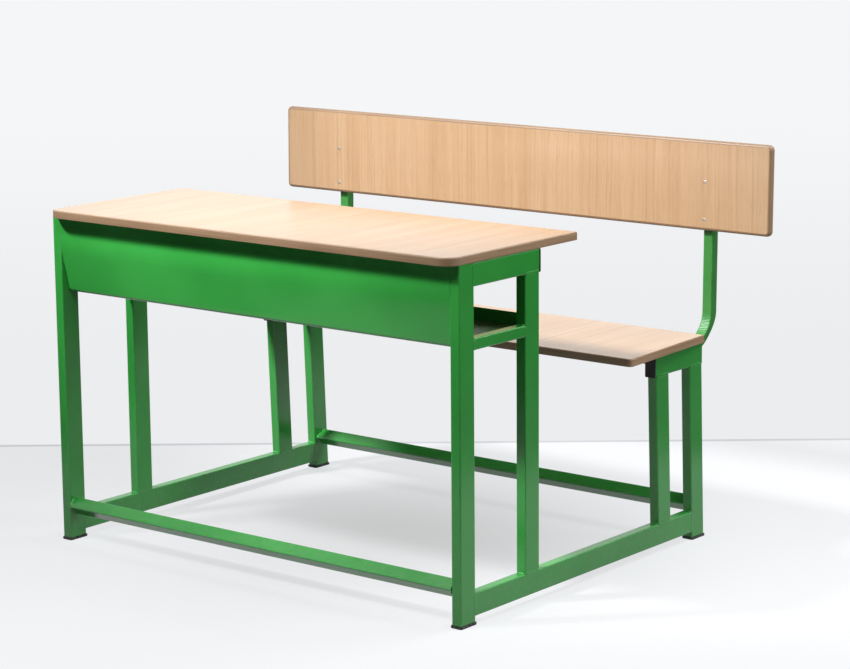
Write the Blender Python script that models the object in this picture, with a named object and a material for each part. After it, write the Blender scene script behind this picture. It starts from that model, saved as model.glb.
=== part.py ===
"""Two-seat school desk and bench on a welded steel frame.

X runs along the bench, Y from the desk towards the backrest, Z up. The sizes below are measured from the
desktop's front edge, and the whole bench is then centred on the origin, with its feet on Z = 0.
Left is the side at negative X. All sizes are in metres, angles in radians.
"""
import bpy
import numpy as np
from math import cos, pi, sin, tan
from mathutils import Matrix

# Clearances
GAP = 0.0003
CUT_OVERRUN = 0.004

# Side frames
FRAME_WIDTH = 1.190
TUBE_WIDTH = 0.025
TUBE_DEPTH = 0.050
TUBE_WALL = 0.0015
TUBE_CORNER = 0.0025
FRONT_LEG_SETBACK = 0.030
DESK_UPRIGHT_SPACING = 0.2265
BASE_RAIL_CLEARANCE = 0.018
SHELF_RAIL_SIZE = 0.025
SHELF_RAIL_DROP = 0.184

# The bench half, from the front face of its front upright at the floor
BENCH_DISTANCE = 0.743
REAR_LEG_SPACING = 0.138
REAR_RAKE = 0.040
SEAT_RAIL_LEAD = 0.022

# Bars between the side frames, square tubes laid on edge
BAR_SIZE = 0.030
BAR_CORNER = 0.003
BAR_HEIGHT = 0.082
FOOTREST_SETBACK = 0.018

# Bent tubes that carry the backrest
BACK_TUBE_SIZE = 0.025
BACK_TUBE_INSET = 0.019
BACK_TUBE_BEHIND_LEG = 0.1095
BACK_TUBE_LEAN = 0.015
BACK_TUBE_TOP_DROP = 0.048
BACK_BEND_RADIUS = 0.060
BACK_BEND_FLATTENING = 0.007

# Boards
BOARD_THICKNESS = 0.018
BOARD_ROUNDING = 0.003
DESKTOP_OVERHANG = 0.001
DESKTOP_DEPTH = 0.445
DESKTOP_TOP = 0.790
DESKTOP_FRONT_CORNER = 0.038
DESKTOP_REAR_CORNER = 0.004
SEAT_FRONT_OVERHANG = 0.029
SEAT_REAR_OVERHANG = 0.005
SEAT_DEPTH = 0.337
SEAT_TOP = 0.484
SEAT_BEFORE_BEND = 0.0115
SEAT_FRONT_CORNER = 0.012
SEAT_REAR_CORNER = 0.004
BACKREST_OVERHANG = 0.140
BACKREST_HEIGHT = 0.211
BACKREST_ABOVE_SEAT = 0.233
BACKREST_CORNER = 0.012
BACKREST_ROUNDING = 0.007

# Book tray, one folded sheet
SHEET_THICKNESS = 0.0012
TRAY_TOP_FOLD = 0.022
TRAY_PLUMB_HEIGHT = 0.070
TRAY_LEAN_IN = 0.018
TRAY_FLOOR_RISE = 0.007
TRAY_PAST_UPRIGHT = 0.0435
TRAY_LIP_HEIGHT = 0.034
TRAY_TOP_BEND = 0.003
TRAY_CREASE_BEND = 0.012
TRAY_BOTTOM_BEND = 0.009
TRAY_LIP_BEND = 0.004

# Plastic feet and end plugs
FOOT_HEIGHT = 0.006
FOOT_OVERHANG = 0.003
FOOT_ROUNDING = 0.0015
PLUG_THICKNESS = 0.004
PLUG_OVERHANG = 0.001
PLUG_ROUNDING = 0.001
SPIGOT_LENGTH = 0.018
SPIGOT_FIT = 0.0003
SPIGOT_CHAMFER = 0.001

# Screws
SCREW_RADIUS = 0.0024
SCREW_POINT = 0.004
PAN_HEAD_RADIUS = 0.0047
PAN_HEAD_HEIGHT = 0.003
SUNK_HEAD_RADIUS = 0.0045
SUNK_HEAD_DEPTH = 0.0026
SCREW_BITE = 0.012
SCREW_PAST_WALL = 0.012
ACCESS_HOLE_RADIUS = 0.006
BACKREST_SCREW_RISE = 0.026
BACKREST_SCREW_SPACING = 0.088
DESK_SCREW_PAST_LEG = 0.050
DESK_SCREW_SPACING = 0.105
SEAT_SCREW_PAST_START = 0.030
SEAT_SCREW_SPACING = 0.100
TRAY_SCREW_INSET = 0.170

# Smoothness
TUBE_CORNER_STEPS = 2
BOARD_CORNER_STEPS = 7
BOARD_ROUNDING_STEPS = 3
BEND_STEPS = 9
FOLD_STEPS = 4
SCREW_SIDES = 12
NARROWEST_SHARE = 0.02
HALF_SHARE = 0.5

# Places across the bench that follow from the sizes above
FRAME_INSIDE = FRAME_WIDTH / 2 - TUBE_WIDTH
SIDE_TUBE_X = FRAME_WIDTH / 2 - TUBE_WIDTH / 2
BACK_TUBE_X = FRAME_INSIDE - GAP - BACK_TUBE_SIZE / 2
BAR_LENGTH = 2 * (FRAME_INSIDE - GAP)
DESKTOP_LENGTH = FRAME_WIDTH + 2 * DESKTOP_OVERHANG
SEAT_FRONT_LENGTH = FRAME_WIDTH + 2 * SEAT_FRONT_OVERHANG
SEAT_REAR_LENGTH = FRAME_WIDTH + 2 * SEAT_REAR_OVERHANG
BACKREST_LENGTH = FRAME_WIDTH + 2 * BACKREST_OVERHANG

# Heights
DESKTOP_UNDERSIDE = DESKTOP_TOP - BOARD_THICKNESS
DESK_RAIL_TOP = DESKTOP_UNDERSIDE - GAP
DESK_RAIL_BOTTOM = DESK_RAIL_TOP - TUBE_DEPTH
SHELF_RAIL_BOTTOM = DESKTOP_UNDERSIDE - SHELF_RAIL_DROP
TRAY_BOTTOM = SHELF_RAIL_BOTTOM + TRAY_FLOOR_RISE
SEAT_UNDERSIDE = SEAT_TOP - BOARD_THICKNESS
SEAT_RAIL_TOP = SEAT_UNDERSIDE - GAP
SEAT_RAIL_BOTTOM = SEAT_RAIL_TOP - TUBE_DEPTH
BACK_TUBE_UNDERSIDE = SEAT_RAIL_TOP - BACK_TUBE_SIZE
BACKREST_BOTTOM = SEAT_TOP + BACKREST_ABOVE_SEAT
BACKREST_SCREW_LOW = BACKREST_BOTTOM + BACKREST_SCREW_RISE
BACKREST_SCREW_HIGH = BACKREST_SCREW_LOW + BACKREST_SCREW_SPACING
BACK_TUBE_TOP = BACKREST_BOTTOM + BACKREST_HEIGHT - BACK_TUBE_TOP_DROP
BASE_RAIL_TOP = BASE_RAIL_CLEARANCE + TUBE_DEPTH
LEG_START = FOOT_HEIGHT + GAP

# Places from the desktop's front edge backwards
FRONT_LEG_REAR = FRONT_LEG_SETBACK + TUBE_DEPTH
DESK_UPRIGHT_FRONT = FRONT_LEG_SETBACK + DESK_UPRIGHT_SPACING
DESK_UPRIGHT_REAR = DESK_UPRIGHT_FRONT + TUBE_DEPTH
DESK_SCREW_FRONT = FRONT_LEG_REAR + DESK_SCREW_PAST_LEG
TRAY_REAR = DESK_UPRIGHT_FRONT + TRAY_PAST_UPRIGHT
SEAT_UPRIGHT_FRONT = FRONT_LEG_SETBACK + BENCH_DISTANCE
REAR_LEG_FRONT = SEAT_UPRIGHT_FRONT + REAR_LEG_SPACING
RAKE_SLOPE = tan(REAR_RAKE)
RAKED_DEPTH = TUBE_DEPTH / cos(REAR_RAKE)
SEAT_RAIL_FRONT = SEAT_UPRIGHT_FRONT - SEAT_RAIL_LEAD
SEAT_RAIL_REAR = REAR_LEG_FRONT + RAKED_DEPTH - RAKE_SLOPE * SEAT_RAIL_BOTTOM
BACK_TUBE_START = SEAT_RAIL_FRONT + BACK_TUBE_INSET
SEAT_SCREW_FRONT = BACK_TUBE_START + SEAT_SCREW_PAST_START

# The bend of the back tubes, and how far they reach
BEND_ANGLE = pi / 2 - BACK_TUBE_LEAN
BEND_CENTRE_Y = REAR_LEG_FRONT + BACK_TUBE_BEHIND_LEG - BACK_BEND_RADIUS
BEND_CENTRE_Z = SEAT_RAIL_TOP + BACK_BEND_RADIUS
BACK_TUBE_RUN = BEND_CENTRE_Y - BACK_TUBE_START
BACK_TUBE_RISE = (BACK_TUBE_TOP - BEND_CENTRE_Z) / cos(BACK_TUBE_LEAN)
BACK_TUBE_OUTSIDE = BACK_BEND_RADIUS + BACK_TUBE_SIZE
PLUG_EDGE_RISE = BACK_TUBE_RISE + GAP + PLUG_THICKNESS - PLUG_ROUNDING
OVERALL_DEPTH = BEND_CENTRE_Y + BACK_TUBE_OUTSIDE * cos(BACK_TUBE_LEAN) + PLUG_EDGE_RISE * sin(BACK_TUBE_LEAN)
SEAT_MIDDLE = BEND_CENTRE_Y - SEAT_BEFORE_BEND - SEAT_DEPTH / 2

# Directions
SIDES = (("left", -1), ("right", 1))
ALONG_Y = Matrix.Rotation(-pi / 2, 3, "X")
ALONG_X_ON_EDGE = Matrix.Rotation(pi / 2, 3, "Y") @ Matrix.Rotation(pi / 4, 3, "Z")
FORWARDS = Matrix.Rotation(pi / 2, 3, "X")
UPWARDS = Matrix.Identity(3)


def clear_scene():
    for item in list(bpy.data.objects):
        bpy.data.objects.remove(item, do_unlink=True)


def material(name, colour, roughness, metallic=0.0):
    made = bpy.data.materials.new(name)
    made.use_nodes = True
    shader = made.node_tree.nodes["Principled BSDF"]
    shader.inputs["Base Color"].default_value = (*colour, 1.0)
    shader.inputs["Roughness"].default_value = roughness
    shader.inputs["Metallic"].default_value = metallic
    return made


def make_mesh(name, points, faces):
    mesh = bpy.data.meshes.new(name)
    mesh.from_pydata([tuple(p) for p in points], [], faces)
    mesh.update()
    mesh.shade_smooth()
    mesh.set_sharp_from_angle(angle=pi / 6)
    return mesh


def place(name, mesh, finish, parent, location=(0, 0, 0), turn=UPWARDS):
    """One named piece, at its place under the bench's centre."""
    piece = bpy.data.objects.new(name, mesh)
    mesh.materials.append(finish)
    piece.matrix_basis = Matrix.Translation(location) @ turn.to_4x4()
    piece.parent = parent
    bpy.context.scene.collection.objects.link(piece)
    return piece


def cut(piece, cutter):
    """Takes the cutter's shape out of the piece."""
    hole = piece.modifiers.new("cut_" + cutter.name, "BOOLEAN")
    hole.operation = "DIFFERENCE"
    hole.solver = "EXACT"
    hole.object = cutter


def rounded_outline(width, depth, radii, steps):
    """Anticlockwise points of a rectangle centred on zero, each corner an arc.

    radii are those of the corners at (+, +), (-, +), (-, -) and (+, -).
    """
    points = []
    signs = ((1, 1), (-1, 1), (-1, -1), (1, -1))
    for corner, (sx, sy) in enumerate(signs):
        radius = radii[corner]
        centre = (sx * (width / 2 - radius), sy * (depth / 2 - radius))
        for step in range(steps + 1):
            angle = pi / 2 * (corner + step / steps)
            points.append((centre[0] + radius * cos(angle), centre[1] + radius * sin(angle)))
    return np.array(points)


def bridge(start_a, start_b, count, flip=False):
    """Quads between two rings of points, whose first points are start_a and start_b."""
    faces = []
    for i in range(count):
        j = (i + 1) % count
        quad = [start_a + i, start_a + j, start_b + j, start_b + i]
        faces.append(quad[::-1] if flip else quad)
    return faces


def loft(name, rings):
    """A solid through closed rings of equally many points, listed along the axis, with flat ends."""
    count = len(rings[0])
    faces = [list(range(count))[::-1]]
    for k in range(len(rings) - 1):
        faces += bridge(k * count, (k + 1) * count, count)
    faces.append([(len(rings) - 1) * count + i for i in range(count)])
    return make_mesh(name, np.concatenate(rings), faces)


def hollow_loft(name, outer, inner, closed_end=None):
    """A pipe whose wall lies between outer and inner rings. closed_end is the ring that ends a blind bore."""
    count = len(outer[0])
    last = len(outer) - 1
    first_inner = len(outer) * count
    points = list(outer)
    faces = []
    for k in range(last):
        faces += bridge(k * count, (k + 1) * count, count)
        faces += bridge(first_inner + k * count, first_inner + (k + 1) * count, count, flip=True)
    faces += bridge(0, first_inner, count, flip=True)
    if closed_end is None:
        faces += bridge(last * count, first_inner + last * count, count)
        points += list(inner)
    else:
        points += list(inner[:-1]) + [closed_end]
        faces.append([last * count + i for i in range(count)])
        faces.append([first_inner + last * count + i for i in range(count)][::-1])
    return make_mesh(name, np.concatenate(points), faces)


def level_ring(outline, height, slope=0.0, shift=0.0):
    """An outline raised to the plane z = height + slope * y, and moved along y."""
    return np.column_stack([outline[:, 0], outline[:, 1] + shift, height + slope * outline[:, 1]])


def plain_outline(width, depth, corner):
    """The outline of a tube, bore, plug or foot: a rectangle with four like corners."""
    return rounded_outline(width, depth, [corner] * 4, TUBE_CORNER_STEPS)


def tube_outlines(width, depth, corner):
    """The outside and the bore of a rectangular tube."""
    bore_corner = max(corner - TUBE_WALL, corner * NARROWEST_SHARE)
    bore = plain_outline(width - 2 * TUBE_WALL, depth - 2 * TUBE_WALL, bore_corner)
    return plain_outline(width, depth, corner), bore


def straight_tube(name, width, depth, length, corner=TUBE_CORNER, slopes=(0.0, 0.0), end_plate=False):
    """A tube along Z from zero to length, its ends cut to slopes, the far end open or with a plate."""
    start_slope, end_slope = slopes
    outer, inner = tube_outlines(width, depth, corner)
    outside = [level_ring(outer, 0.0, start_slope), level_ring(outer, length, end_slope)]
    bore = [level_ring(inner, 0.0, start_slope), level_ring(inner, length, end_slope)]
    plate = level_ring(inner, length - TUBE_WALL, end_slope) if end_plate else None
    return hollow_loft(name, outside, bore, plate)


def spigot_outlines(width, depth):
    """The shank and the chamfered tip of a spigot that slides into a tube of this size."""
    room = 2 * (TUBE_WALL + SPIGOT_FIT)
    shank = plain_outline(width - room, depth - room, SPIGOT_CHAMFER)
    room += 2 * SPIGOT_CHAMFER
    return shank, plain_outline(width - room, depth - room, SPIGOT_CHAMFER)


def plug(name, width, depth, overhang, drop):
    """An end plug: a spigot below zero that goes into a tube, and a flange above zero that covers its end.

    The flange stands out by the overhang on three sides; on the fourth, away from the drop's sign along Y,
    it stays flush with the tube, where a board lies on it.
    """
    shank, tip = spigot_outlines(width, depth)
    wide, deep = width + 2 * overhang, depth + overhang
    flange = plain_outline(wide, deep, TUBE_CORNER)
    face = plain_outline(wide - 2 * PLUG_ROUNDING, deep - 2 * PLUG_ROUNDING, TUBE_CORNER - PLUG_ROUNDING)
    shift = drop * overhang / 2
    rings = [level_ring(tip, -SPIGOT_LENGTH)]
    rings.append(level_ring(shank, SPIGOT_CHAMFER - SPIGOT_LENGTH))
    rings.append(level_ring(shank, 0.0))
    rings.append(level_ring(flange, 0.0, shift=shift))
    rings.append(level_ring(flange, PLUG_THICKNESS - PLUG_ROUNDING, shift=shift))
    rings.append(level_ring(face, PLUG_THICKNESS, shift=shift))
    return loft(name, rings)


def foot(name, rake):
    """A foot that plugs into a leg from below; its spigot follows the leg's rake, given as a slope."""
    shank, tip = spigot_outlines(TUBE_WIDTH, TUBE_DEPTH)
    wide, deep = TUBE_WIDTH + 2 * FOOT_OVERHANG, TUBE_DEPTH + 2 * FOOT_OVERHANG
    flange = plain_outline(wide, deep, TUBE_CORNER + FOOT_OVERHANG)
    corner = TUBE_CORNER + FOOT_OVERHANG - FOOT_ROUNDING
    face = plain_outline(wide - 2 * FOOT_ROUNDING, deep - 2 * FOOT_ROUNDING, corner)
    spigot_end = FOOT_HEIGHT + SPIGOT_LENGTH
    steps = [(face, 0.0), (flange, FOOT_ROUNDING), (flange, FOOT_HEIGHT - FOOT_ROUNDING), (face, FOOT_HEIGHT)]
    steps += [(shank, FOOT_HEIGHT), (shank, spigot_end - SPIGOT_CHAMFER), (tip, spigot_end)]
    return loft(name, [level_ring(outline, z, shift=-rake * z) for outline, z in steps])


def board(name, lengths, depth, front_corner, rear_corner, rounding=BOARD_ROUNDING):
    """A board with rounded corners in plan and rounded edges above and below.

    lengths are those of its front and rear edges; its ends run straight from one to the other.
    """
    rings = []
    splay = (lengths[0] - lengths[1]) / 2 / depth
    length = (lengths[0] + lengths[1]) / 2
    quarter = [pi / 2 * k / BOARD_ROUNDING_STEPS for k in range(BOARD_ROUNDING_STEPS + 1)]
    levels = [(rounding * (1 - sin(a)), rounding * (1 - cos(a))) for a in quarter]
    levels += [(inset, BOARD_THICKNESS - height) for inset, height in levels[::-1]]
    for inset, height in levels:
        rear = max(rear_corner - inset, rear_corner * NARROWEST_SHARE)
        front = max(front_corner - inset, front_corner * NARROWEST_SHARE)
        radii = [rear, rear, front, front]
        outline = rounded_outline(length - 2 * inset, depth - 2 * inset, radii, BOARD_CORNER_STEPS)
        outline[:, 0] -= np.sign(outline[:, 0]) * splay * outline[:, 1]
        rings.append(level_ring(outline, height))
    return loft(name, rings)


def turned(name, profile):
    """A solid turned about Z from (radius, height) points, listed upwards, with flat ends."""
    around = (np.arange(SCREW_SIDES) + HALF_SHARE) * 2 * pi / SCREW_SIDES
    circle = np.column_stack([np.cos(around), np.sin(around)])
    return loft(name, [level_ring(radius * circle, height) for radius, height in profile])


def pan_screw(name, length):
    """A pan-head screw whose head lies below zero and whose shank points up."""
    dome = PAN_HEAD_RADIUS * cos(pi / 4)
    profile = [(dome, -PAN_HEAD_HEIGHT), (PAN_HEAD_RADIUS, -PAN_HEAD_HEIGHT / 2), (PAN_HEAD_RADIUS, 0.0)]
    profile += [(SCREW_RADIUS, 0.0), (SCREW_RADIUS, length - SCREW_POINT)]
    profile.append((SCREW_RADIUS * NARROWEST_SHARE, length))
    return turned(name, profile)


def sunk_screw(name, length):
    """A countersunk screw whose flat head is flush with zero and whose shank points up."""
    profile = [(SUNK_HEAD_RADIUS, 0.0), (SCREW_RADIUS, SUNK_HEAD_DEPTH), (SCREW_RADIUS, length - SCREW_POINT)]
    profile += [(SCREW_RADIUS * NARROWEST_SHARE, length)]
    return turned(name, profile)


def turned_cutter(name, profile, parent, location, turn=UPWARDS):
    """A turned shape that only serves to cut others."""
    cutter = bpy.data.objects.new(name, turned(name, profile))
    cutter.matrix_basis = Matrix.Translation(location) @ turn.to_4x4()
    cutter.parent = parent
    cutter.hide_render = True
    cutter.display_type = "WIRE"
    bpy.context.scene.collection.objects.link(cutter)
    return cutter


def add_legs(parent, paint, plastic):
    """The four legs with their feet, and the two pairs of uprights on the base rails."""
    raked = Matrix.Rotation(REAR_RAKE, 3, "X")
    front_mid = FRONT_LEG_SETBACK + TUBE_DEPTH / 2
    rear_mid = REAR_LEG_FRONT + RAKED_DEPTH / 2
    seat_mid = SEAT_UPRIGHT_FRONT + RAKED_DEPTH / 2
    desk_mid = DESK_UPRIGHT_FRONT + TUBE_DEPTH / 2
    for side, sign in SIDES:
        x = sign * SIDE_TUBE_X
        name = "front_leg_" + side
        leg = straight_tube(name, TUBE_WIDTH, TUBE_DEPTH, DESKTOP_UNDERSIDE - GAP - LEG_START)
        place(name, leg, paint, parent, (x, front_mid, LEG_START))
        name = "desk_upright_" + side
        upright = straight_tube(name, TUBE_WIDTH, TUBE_DEPTH, DESK_RAIL_BOTTOM - BASE_RAIL_TOP - 2 * GAP)
        place(name, upright, paint, parent, (x, desk_mid, BASE_RAIL_TOP + GAP))
        raked_pairs = (("rear_leg_", rear_mid, LEG_START), ("seat_upright_", seat_mid, BASE_RAIL_TOP + GAP))
        for name, mid, start in raked_pairs:
            length = (SEAT_RAIL_BOTTOM - GAP - start) / cos(REAR_RAKE)
            slopes = (-RAKE_SLOPE, -RAKE_SLOPE)
            tube = straight_tube(name + side, TUBE_WIDTH, TUBE_DEPTH, length, slopes=slopes)
            place(name + side, tube, paint, parent, (x, mid - RAKE_SLOPE * start, start), raked)
        place("foot_front_" + side, foot("foot_front_" + side, 0.0), plastic, parent, (x, front_mid, 0))
        place("foot_rear_" + side, foot("foot_rear_" + side, RAKE_SLOPE), plastic, parent, (x, rear_mid, 0))


def add_rails(parent, paint, plastic):
    """The base, desk, shelf and seat rails, with the plugs in their open ends. Returns the desk rails."""
    desk_rails = {}
    for side, sign in SIDES:
        x = sign * SIDE_TUBE_X
        start = FRONT_LEG_REAR + GAP
        mid_height = BASE_RAIL_CLEARANCE + TUBE_DEPTH / 2
        end = REAR_LEG_FRONT - RAKE_SLOPE * mid_height - GAP
        name = "base_rail_" + side
        rail = straight_tube(name, TUBE_WIDTH, TUBE_DEPTH, end - start, slopes=(0.0, RAKE_SLOPE))
        place(name, rail, paint, parent, (x, start, mid_height), ALONG_Y)

        name = "desk_rail_" + side
        height = DESK_RAIL_TOP - TUBE_DEPTH / 2
        rail = straight_tube(name, TUBE_WIDTH, TUBE_DEPTH, DESK_UPRIGHT_REAR - start)
        desk_rails[side] = place(name, rail, paint, parent, (x, start, height), ALONG_Y)
        name = "desk_rail_plug_" + side
        cap = plug(name, TUBE_WIDTH, TUBE_DEPTH, PLUG_OVERHANG, 1)
        place(name, cap, plastic, parent, (x, DESK_UPRIGHT_REAR + GAP, height), ALONG_Y)

        name = "shelf_rail_" + side
        rail = straight_tube(name, TUBE_WIDTH, SHELF_RAIL_SIZE, DESK_UPRIGHT_FRONT - GAP - start)
        place(name, rail, paint, parent, (x, start, SHELF_RAIL_BOTTOM + SHELF_RAIL_SIZE / 2), ALONG_Y)

        name = "seat_rail_" + side
        height = SEAT_RAIL_TOP - TUBE_DEPTH / 2
        rail = straight_tube(name, TUBE_WIDTH, TUBE_DEPTH, SEAT_RAIL_REAR - SEAT_RAIL_FRONT, end_plate=True)
        place(name, rail, paint, parent, (x, SEAT_RAIL_FRONT, height), ALONG_Y)
        name = "seat_rail_plug_" + side
        cap = plug(name, TUBE_WIDTH, TUBE_DEPTH, PLUG_OVERHANG, -1)
        place(name, cap, plastic, parent, (x, SEAT_RAIL_FRONT - GAP, height), FORWARDS)
    return desk_rails


def add_bars(parent, paint):
    """The footrest bar and the rear stretcher, each on edge between the legs."""
    rear_mid = REAR_LEG_FRONT + RAKED_DEPTH / 2 - RAKE_SLOPE * BAR_HEIGHT
    places = (("footrest_bar", FRONT_LEG_SETBACK + FOOTREST_SETBACK), ("rear_stretcher", rear_mid))
    for name, y in places:
        bar = straight_tube(name, BAR_SIZE, BAR_SIZE, BAR_LENGTH, corner=BAR_CORNER)
        place(name, bar, paint, parent, (-BAR_LENGTH / 2, y, BAR_HEIGHT), ALONG_X_ON_EDGE)


def back_tube_mesh(name):
    """A square tube that runs back, bends up on its flattened outside, and rises with a slight lean.

    The bend's centre is the mesh's origin. At a turn t of the bend the tube's middle lies on the direction
    (sin t, -cos t) from it. Its depth shrinks by the flattening times the squared sine of pi times the
    share of the bend that is done.
    """
    outer, inner = tube_outlines(BACK_TUBE_SIZE, BACK_TUBE_SIZE, TUBE_CORNER)
    middle = BACK_BEND_RADIUS + BACK_TUBE_SIZE / 2
    stations = [(0.0, -BACK_TUBE_RUN, 0.0)]
    for step in range(BEND_STEPS + 1):
        share = step / BEND_STEPS
        stations.append((BEND_ANGLE * share, 0.0, BACK_BEND_FLATTENING * sin(pi * share) ** 2))
    stations.append((BEND_ANGLE, BACK_TUBE_RISE, 0.0))
    outside, bore = [], []
    for turn, ahead, flattening in stations:
        out = np.array([0.0, sin(turn), -cos(turn)])
        along = np.array([0.0, cos(turn), sin(turn)])
        centre = out * (middle - flattening / 2) + along * ahead
        squeeze = 1 - flattening / BACK_TUBE_SIZE
        for outline, rings in ((outer, outside), (inner, bore)):
            across = outline[:, :1] * np.array([1.0, 0.0, 0.0])
            rings.append(centre + across - outline[:, 1:] * squeeze * out)
    return hollow_loft(name, outside, bore)


def add_back_tubes(parent, paint, plastic):
    """The bent tubes inside the seat rails, with plugs in both ends. Returns the tubes."""
    tubes = {}
    leaning = Matrix.Rotation(-BACK_TUBE_LEAN, 3, "X")
    top_out = BACK_BEND_RADIUS + BACK_TUBE_SIZE / 2
    rise = BACK_TUBE_RISE + GAP
    top_y = BEND_CENTRE_Y + top_out * cos(BACK_TUBE_LEAN) + rise * sin(BACK_TUBE_LEAN)
    top_z = BEND_CENTRE_Z - top_out * sin(BACK_TUBE_LEAN) + rise * cos(BACK_TUBE_LEAN)
    front_z = BACK_TUBE_UNDERSIDE + BACK_TUBE_SIZE / 2
    for side, sign in SIDES:
        x = sign * BACK_TUBE_X
        name = "back_tube_" + side
        tubes[side] = place(name, back_tube_mesh(name), paint, parent, (x, BEND_CENTRE_Y, BEND_CENTRE_Z))
        name = "back_tube_top_plug_" + side
        cap = plug(name, BACK_TUBE_SIZE, BACK_TUBE_SIZE, 0.0, 0)
        place(name, cap, plastic, parent, (x, top_y, top_z), leaning)
        name = "back_tube_front_plug_" + side
        cap = plug(name, BACK_TUBE_SIZE, BACK_TUBE_SIZE, 0.0, 0)
        place(name, cap, plastic, parent, (x, BACK_TUBE_START - GAP, front_z), FORWARDS)
    return tubes


def rounded_path(corners, radii):
    """A path through corner points in the plane of Y and Z, each inner corner turned into an arc.

    An arc starts and ends radius * tan(half the turn) from its corner.
    """
    corners = [np.array(c) for c in corners]
    points = [corners[0]]
    for before, corner, after, radius in zip(corners, corners[1:], corners[2:], radii):
        into = (corner - before) / np.linalg.norm(corner - before)
        out = (after - corner) / np.linalg.norm(after - corner)
        turn = np.arctan2(into[0] * out[1] - into[1] * out[0], into @ out)
        side = np.sign(turn)
        start = corner - into * radius * tan(abs(turn) / 2)
        centre = start + side * radius * np.array([-into[1], into[0]])
        for step in range(FOLD_STEPS + 1):
            angle = turn * step / FOLD_STEPS
            y, z = start - centre
            points.append(centre + [y * cos(angle) - z * sin(angle), y * sin(angle) + z * cos(angle)])
    points.append(corners[-1])
    return np.array(points)


def add_book_tray(parent, paint):
    """One sheet folded into the top fold, the front panel that leans in, the tray floor and the rear lip."""
    top = DESKTOP_UNDERSIDE - GAP
    front = FRONT_LEG_SETBACK
    corners = [(front + TRAY_TOP_FOLD, top), (front, top), (front, top - TRAY_PLUMB_HEIGHT)]
    corners += [(front + TRAY_LEAN_IN, TRAY_BOTTOM), (TRAY_REAR, TRAY_BOTTOM)]
    corners.append((TRAY_REAR, TRAY_BOTTOM + TRAY_LIP_HEIGHT))
    radii = [TRAY_TOP_BEND, TRAY_CREASE_BEND, TRAY_BOTTOM_BEND, TRAY_LIP_BEND]
    path = rounded_path(corners, radii)
    half = BAR_LENGTH / 2
    points = [(x, y, z) for y, z in path for x in (-half, half)]
    faces = [[2 * k, 2 * k + 2, 2 * k + 3, 2 * k + 1] for k in range(len(path) - 1)]
    tray = place("book_tray", make_mesh("book_tray", points, faces), paint, parent)
    sheet = tray.modifiers.new("sheet", "SOLIDIFY")
    sheet.thickness = SHEET_THICKNESS
    sheet.offset = -1.0
    sheet.use_even_offset = True
    return tray


def add_boards(parent, laminate):
    """The desktop, the seat board and the backrest board."""
    lengths = (DESKTOP_LENGTH, DESKTOP_LENGTH)
    mesh = board("desktop", lengths, DESKTOP_DEPTH, DESKTOP_FRONT_CORNER, DESKTOP_REAR_CORNER)
    desktop = place("desktop", mesh, laminate, parent, (0, DESKTOP_DEPTH / 2, DESKTOP_UNDERSIDE))
    lengths = (SEAT_FRONT_LENGTH, SEAT_REAR_LENGTH)
    mesh = board("seat_board", lengths, SEAT_DEPTH, SEAT_FRONT_CORNER, SEAT_REAR_CORNER)
    seat = place("seat_board", mesh, laminate, parent, (0, SEAT_MIDDLE, SEAT_UNDERSIDE))
    lengths = (BACKREST_LENGTH, BACKREST_LENGTH)
    corner = BACKREST_CORNER
    mesh = board("backrest_board", lengths, BACKREST_HEIGHT, corner, corner, BACKREST_ROUNDING)
    middle = on_backrest(0, BACKREST_BOTTOM + BACKREST_HEIGHT / 2, 0.0)
    facing = Matrix.Rotation(pi / 2 - BACK_TUBE_LEAN, 3, "X")
    backrest = place("backrest_board", mesh, laminate, parent, middle, facing)
    return desktop, seat, backrest


def on_backrest(x, height, forward):
    """The point at this height on the backrest board's rear face, or forward of it by so much."""
    reach = BACK_BEND_RADIUS - GAP - forward
    rise = (height - BEND_CENTRE_Z + reach * sin(BACK_TUBE_LEAN)) / cos(BACK_TUBE_LEAN)
    y = BEND_CENTRE_Y + reach * cos(BACK_TUBE_LEAN) + rise * sin(BACK_TUBE_LEAN)
    return (x, y, height)


def add_backrest_screws(parent, zinc, backrest, tubes):
    """Countersunk screws through the backrest board into the front wall of each bent tube."""
    rearwards = Matrix.Rotation(-pi / 2 - BACK_TUBE_LEAN, 3, "X")
    head, shank = SUNK_HEAD_RADIUS + GAP, SCREW_RADIUS + GAP
    profile = [(head, -CUT_OVERRUN), (head, 0.0), (shank, SUNK_HEAD_DEPTH + GAP)]
    profile.append((shank, BOARD_THICKNESS + TUBE_WALL + CUT_OVERRUN))
    length = BOARD_THICKNESS + TUBE_WALL + SCREW_PAST_WALL
    for side, sign in SIDES:
        for level, height in (("low", BACKREST_SCREW_LOW), ("high", BACKREST_SCREW_HIGH)):
            name = "backrest_screw_" + side + "_" + level
            spot = on_backrest(sign * BACK_TUBE_X, height, BOARD_THICKNESS)
            place(name, sunk_screw(name, length), zinc, parent, spot, rearwards)
            hole = turned_cutter(name + "_hole", profile, parent, spot, rearwards)
            cut(backrest, hole)
            cut(tubes[side], hole)


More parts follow.
